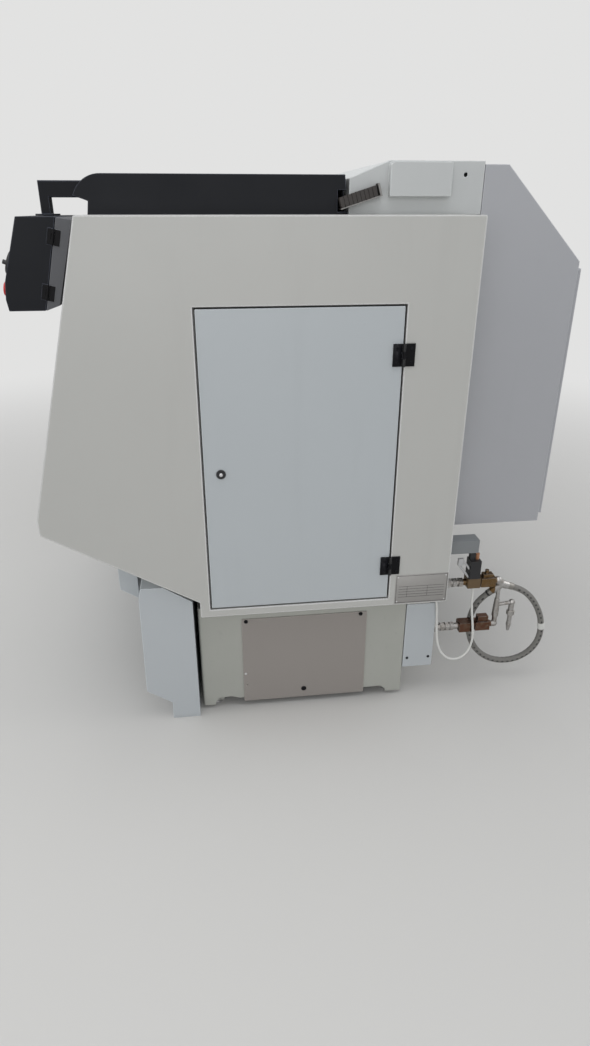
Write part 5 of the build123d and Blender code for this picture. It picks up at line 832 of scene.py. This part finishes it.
knob = [(0.0150, 0), (0.0150, 0.0020), (0.0118, 0.0030), (0.0112, 0.0140), (0.0098, 0.0158), (0, 0.0158)]
bm = bmesh.new()
for x in (0.0, 0.065):
    add_turned(bm, on_band(x), knob, 36)
    add_block(bm, on_band(x), (0.0022, 0.0190, 0.0176), edge=0.0006)
piece("override_knobs", bm, "pendant", "black_plastic")

ring = [(0.0150, 0), (0.0150, 0.0018), (0.0140, 0.0026), (0.0122, 0.0026), (0.0122, 0)]
bm = bmesh.new()
for x in (-0.120, -0.070):
    add_turned(bm, on_band(x), ring, 36)
piece("button_rings", bm, "pendant", "chrome")


# ---------------------------------------------------------------------------
# Cabinet: fronts of the drives and contactors, and the switch plate
# ---------------------------------------------------------------------------
def in_cabinet(x, y, z):
    """A plane that faces the cabinet's door, with its X along the machine's X."""
    return basis((x, y, z), Y, X)


DRIVE_FACE, CONTACTOR_FACE = PLATE_Y + 0.170, PLATE_Y + 0.085
DRIVES, DRIVE_STEP, DRIVE_X = 4, 0.110, 0.065
PLUG_STEP, PLUG_X = 0.022, 0.043
CONTACTORS, CONTACTOR_STEP, CONTACTOR_X = 7, 0.064, 0.044
bm = bmesh.new()
for drive in range(DRIVES):
    x = DRIVE_X + DRIVE_STEP * drive
    add_block(bm, in_cabinet(x, DRIVE_FACE, 1.425), (0.066, 0.096, 0.0030), edge=0.0012)
    for row in range(3):
        add_block(bm, in_cabinet(x, DRIVE_FACE, 1.345 - 0.018 * row), (0.060, 0.010, 0.0025), edge=0.0008)
piece("drive_panels", bm, "frame", "cast_paint", "key_grey")

bm = bmesh.new()
for drive in range(DRIVES):
    for plug in range(3):
        x = PLUG_X + PLUG_STEP * plug + DRIVE_STEP * drive
        add_block(bm, in_cabinet(x, DRIVE_FACE, 1.256), (0.018, 0.024, 0.0110), edge=0.0010)
piece("drive_plugs", bm, "frame", "green_plastic")

bm = bmesh.new()
for contactor in range(CONTACTORS):
    x = CONTACTOR_X + CONTACTOR_STEP * contactor
    add_block(bm, in_cabinet(x, CONTACTOR_FACE, 1.055), (0.030, 0.034, 0.0050), edge=0.0010)
    for z in (1.023, 1.087):
        for dx in (-0.015, 0, 0.015):
            screw(bm, in_cabinet(x + dx, CONTACTOR_FACE, z), 0.0042, 0.0016)
piece("contactor_fronts", bm, "frame", "cast_paint", "key_grey")

bm = bmesh.new()
add_block(bm, basis((0.120, 0.880, 1.340), Y, -X), (0.062, 0.062, 0.0016), edge=0.0006)
piece("switch_plate", bm, "cabinet_door", "yellow_plastic")


# ---------------------------------------------------------------------------
# Chuck: socket screws of its face
# ---------------------------------------------------------------------------
CHUCK_SCREW_CIRCLE = 0.060
bm = bmesh.new()
for angle in (30, 150, 270):
    turn = angle * pi / 180
    y = SPINDLE_Y + CHUCK_SCREW_CIRCLE * cos(turn)
    z = SPINDLE_Z + CHUCK_SCREW_CIRCLE * sin(turn)
    screw(bm, on_right(y, z, CHUCK_FACE), 0.0070, 0.0030)
piece("chuck_screws", bm, "spindle", "black_metal")


# ---------------------------------------------------------------------------
# Hose and cable: the routes of the part's source, in metres
# ---------------------------------------------------------------------------
HOSE = [
    TEE + RIGHT_WAY * 0.024,
    TEE + RIGHT_WAY * 0.076,
    (0.818, 0.828, 0.377),
    (0.820, 0.862, 0.330),
    (0.821, 0.886, 0.275),
    (0.820, 0.895, 0.216),
    (0.817, 0.886, 0.160),
    (0.811, 0.855, 0.114),
    (0.803, 0.808, 0.086),
    (0.794, 0.754, 0.080),
    (0.786, 0.703, 0.097),
    (0.780, 0.662, 0.135),
    (0.776, 0.636, 0.188),
    (0.775, 0.628, 0.247),
    (0.779, 0.634, 0.307),
    TEE + LEFT_WAY * 0.095,
    TEE + LEFT_WAY * 0.045,
]
CABLE = [
    (0.829, 0.605, 0.433),
    (0.829, 0.605, 0.383),
    (0.836, 0.609, 0.330),
    (0.843, 0.616, 0.275),
    (0.847, 0.619, 0.226),
    (0.849, 0.611, 0.184),
    (0.851, 0.588, 0.154),
    (0.852, 0.556, 0.144),
    (0.852, 0.524, 0.155),
    (0.851, 0.499, 0.185),
    (0.850, 0.484, 0.227),
    (0.849, 0.478, 0.279),
    (0.847, 0.475, 0.330),
    (0.845, 0.471, 0.378),
    (0.842, 0.467, 0.405),
    (0.842, 0.467, 0.428),
]


def flex(name, points, radius, slot, sides):
    """A smooth round cord with these control points."""
    data = bpy.data.curves.new(name, "CURVE")
    data.dimensions = "3D"
    data.resolution_u = 10
    data.bevel_depth = radius
    data.bevel_resolution = sides
    data.use_fill_caps = True
    spline = data.splines.new("NURBS")
    spline.points.add(len(points) - 1)
    for point, co in zip(spline.points, points):
        point.co = (*co, 1)
    spline.order_u = 3
    spline.use_endpoint_u = True
    data.materials.append(mats[slot])
    obj = bpy.data.objects.new(name, data)
    bpy.context.scene.collection.objects.link(obj)
    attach(obj, "frame")
    return obj


hose = flex("braided_hose", HOSE, 0.011, "hose_grey", 10)
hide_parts("hose_loop")
cable = flex("valve_cable", CABLE, 0.004, "cable_white", 8)
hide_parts("white_cable")


def sleeve(name, place, way, radius, length, slot, mat=None):
    """A short band round a cord, square to its way."""
    bm = bmesh.new()
    way = Vector(way).normalized()
    across = Z if abs(way.z) < 0.9 else Y
    r, h, wall, edge = radius, length, 0.002, 0.0006
    profile = [(r - wall, 0), (r - edge, 0), (r, edge), (r, h - edge), (r - edge, h), (r - wall, h)]
    add_turned(bm, basis(Vector(place) - way * h / 2, way, across), profile, 32)
    return piece(name, bm, "frame", slot, mat)


sleeve("hose_band", (0.8205, 0.8905, 0.2455), (-0.001, 0.009, -0.059), 0.0128, 0.026, "cable_white")
sleeve("hose_tie", TEE + LEFT_WAY * 0.062, LEFT_WAY, 0.0122, 0.007, "rubber")
sleeve("hose_ferrule_right", TEE + RIGHT_WAY * 0.034, RIGHT_WAY, 0.0126, 0.022, "steel", "hose_steel")
sleeve("hose_ferrule_left", TEE + LEFT_WAY * 0.052, LEFT_WAY, 0.0126, 0.013, "steel", "hose_steel")
sleeve("cable_tie", (0.845, 0.6175, 0.2505), (0.004, 0.003, -0.049), 0.0053, 0.005, "cable_white")
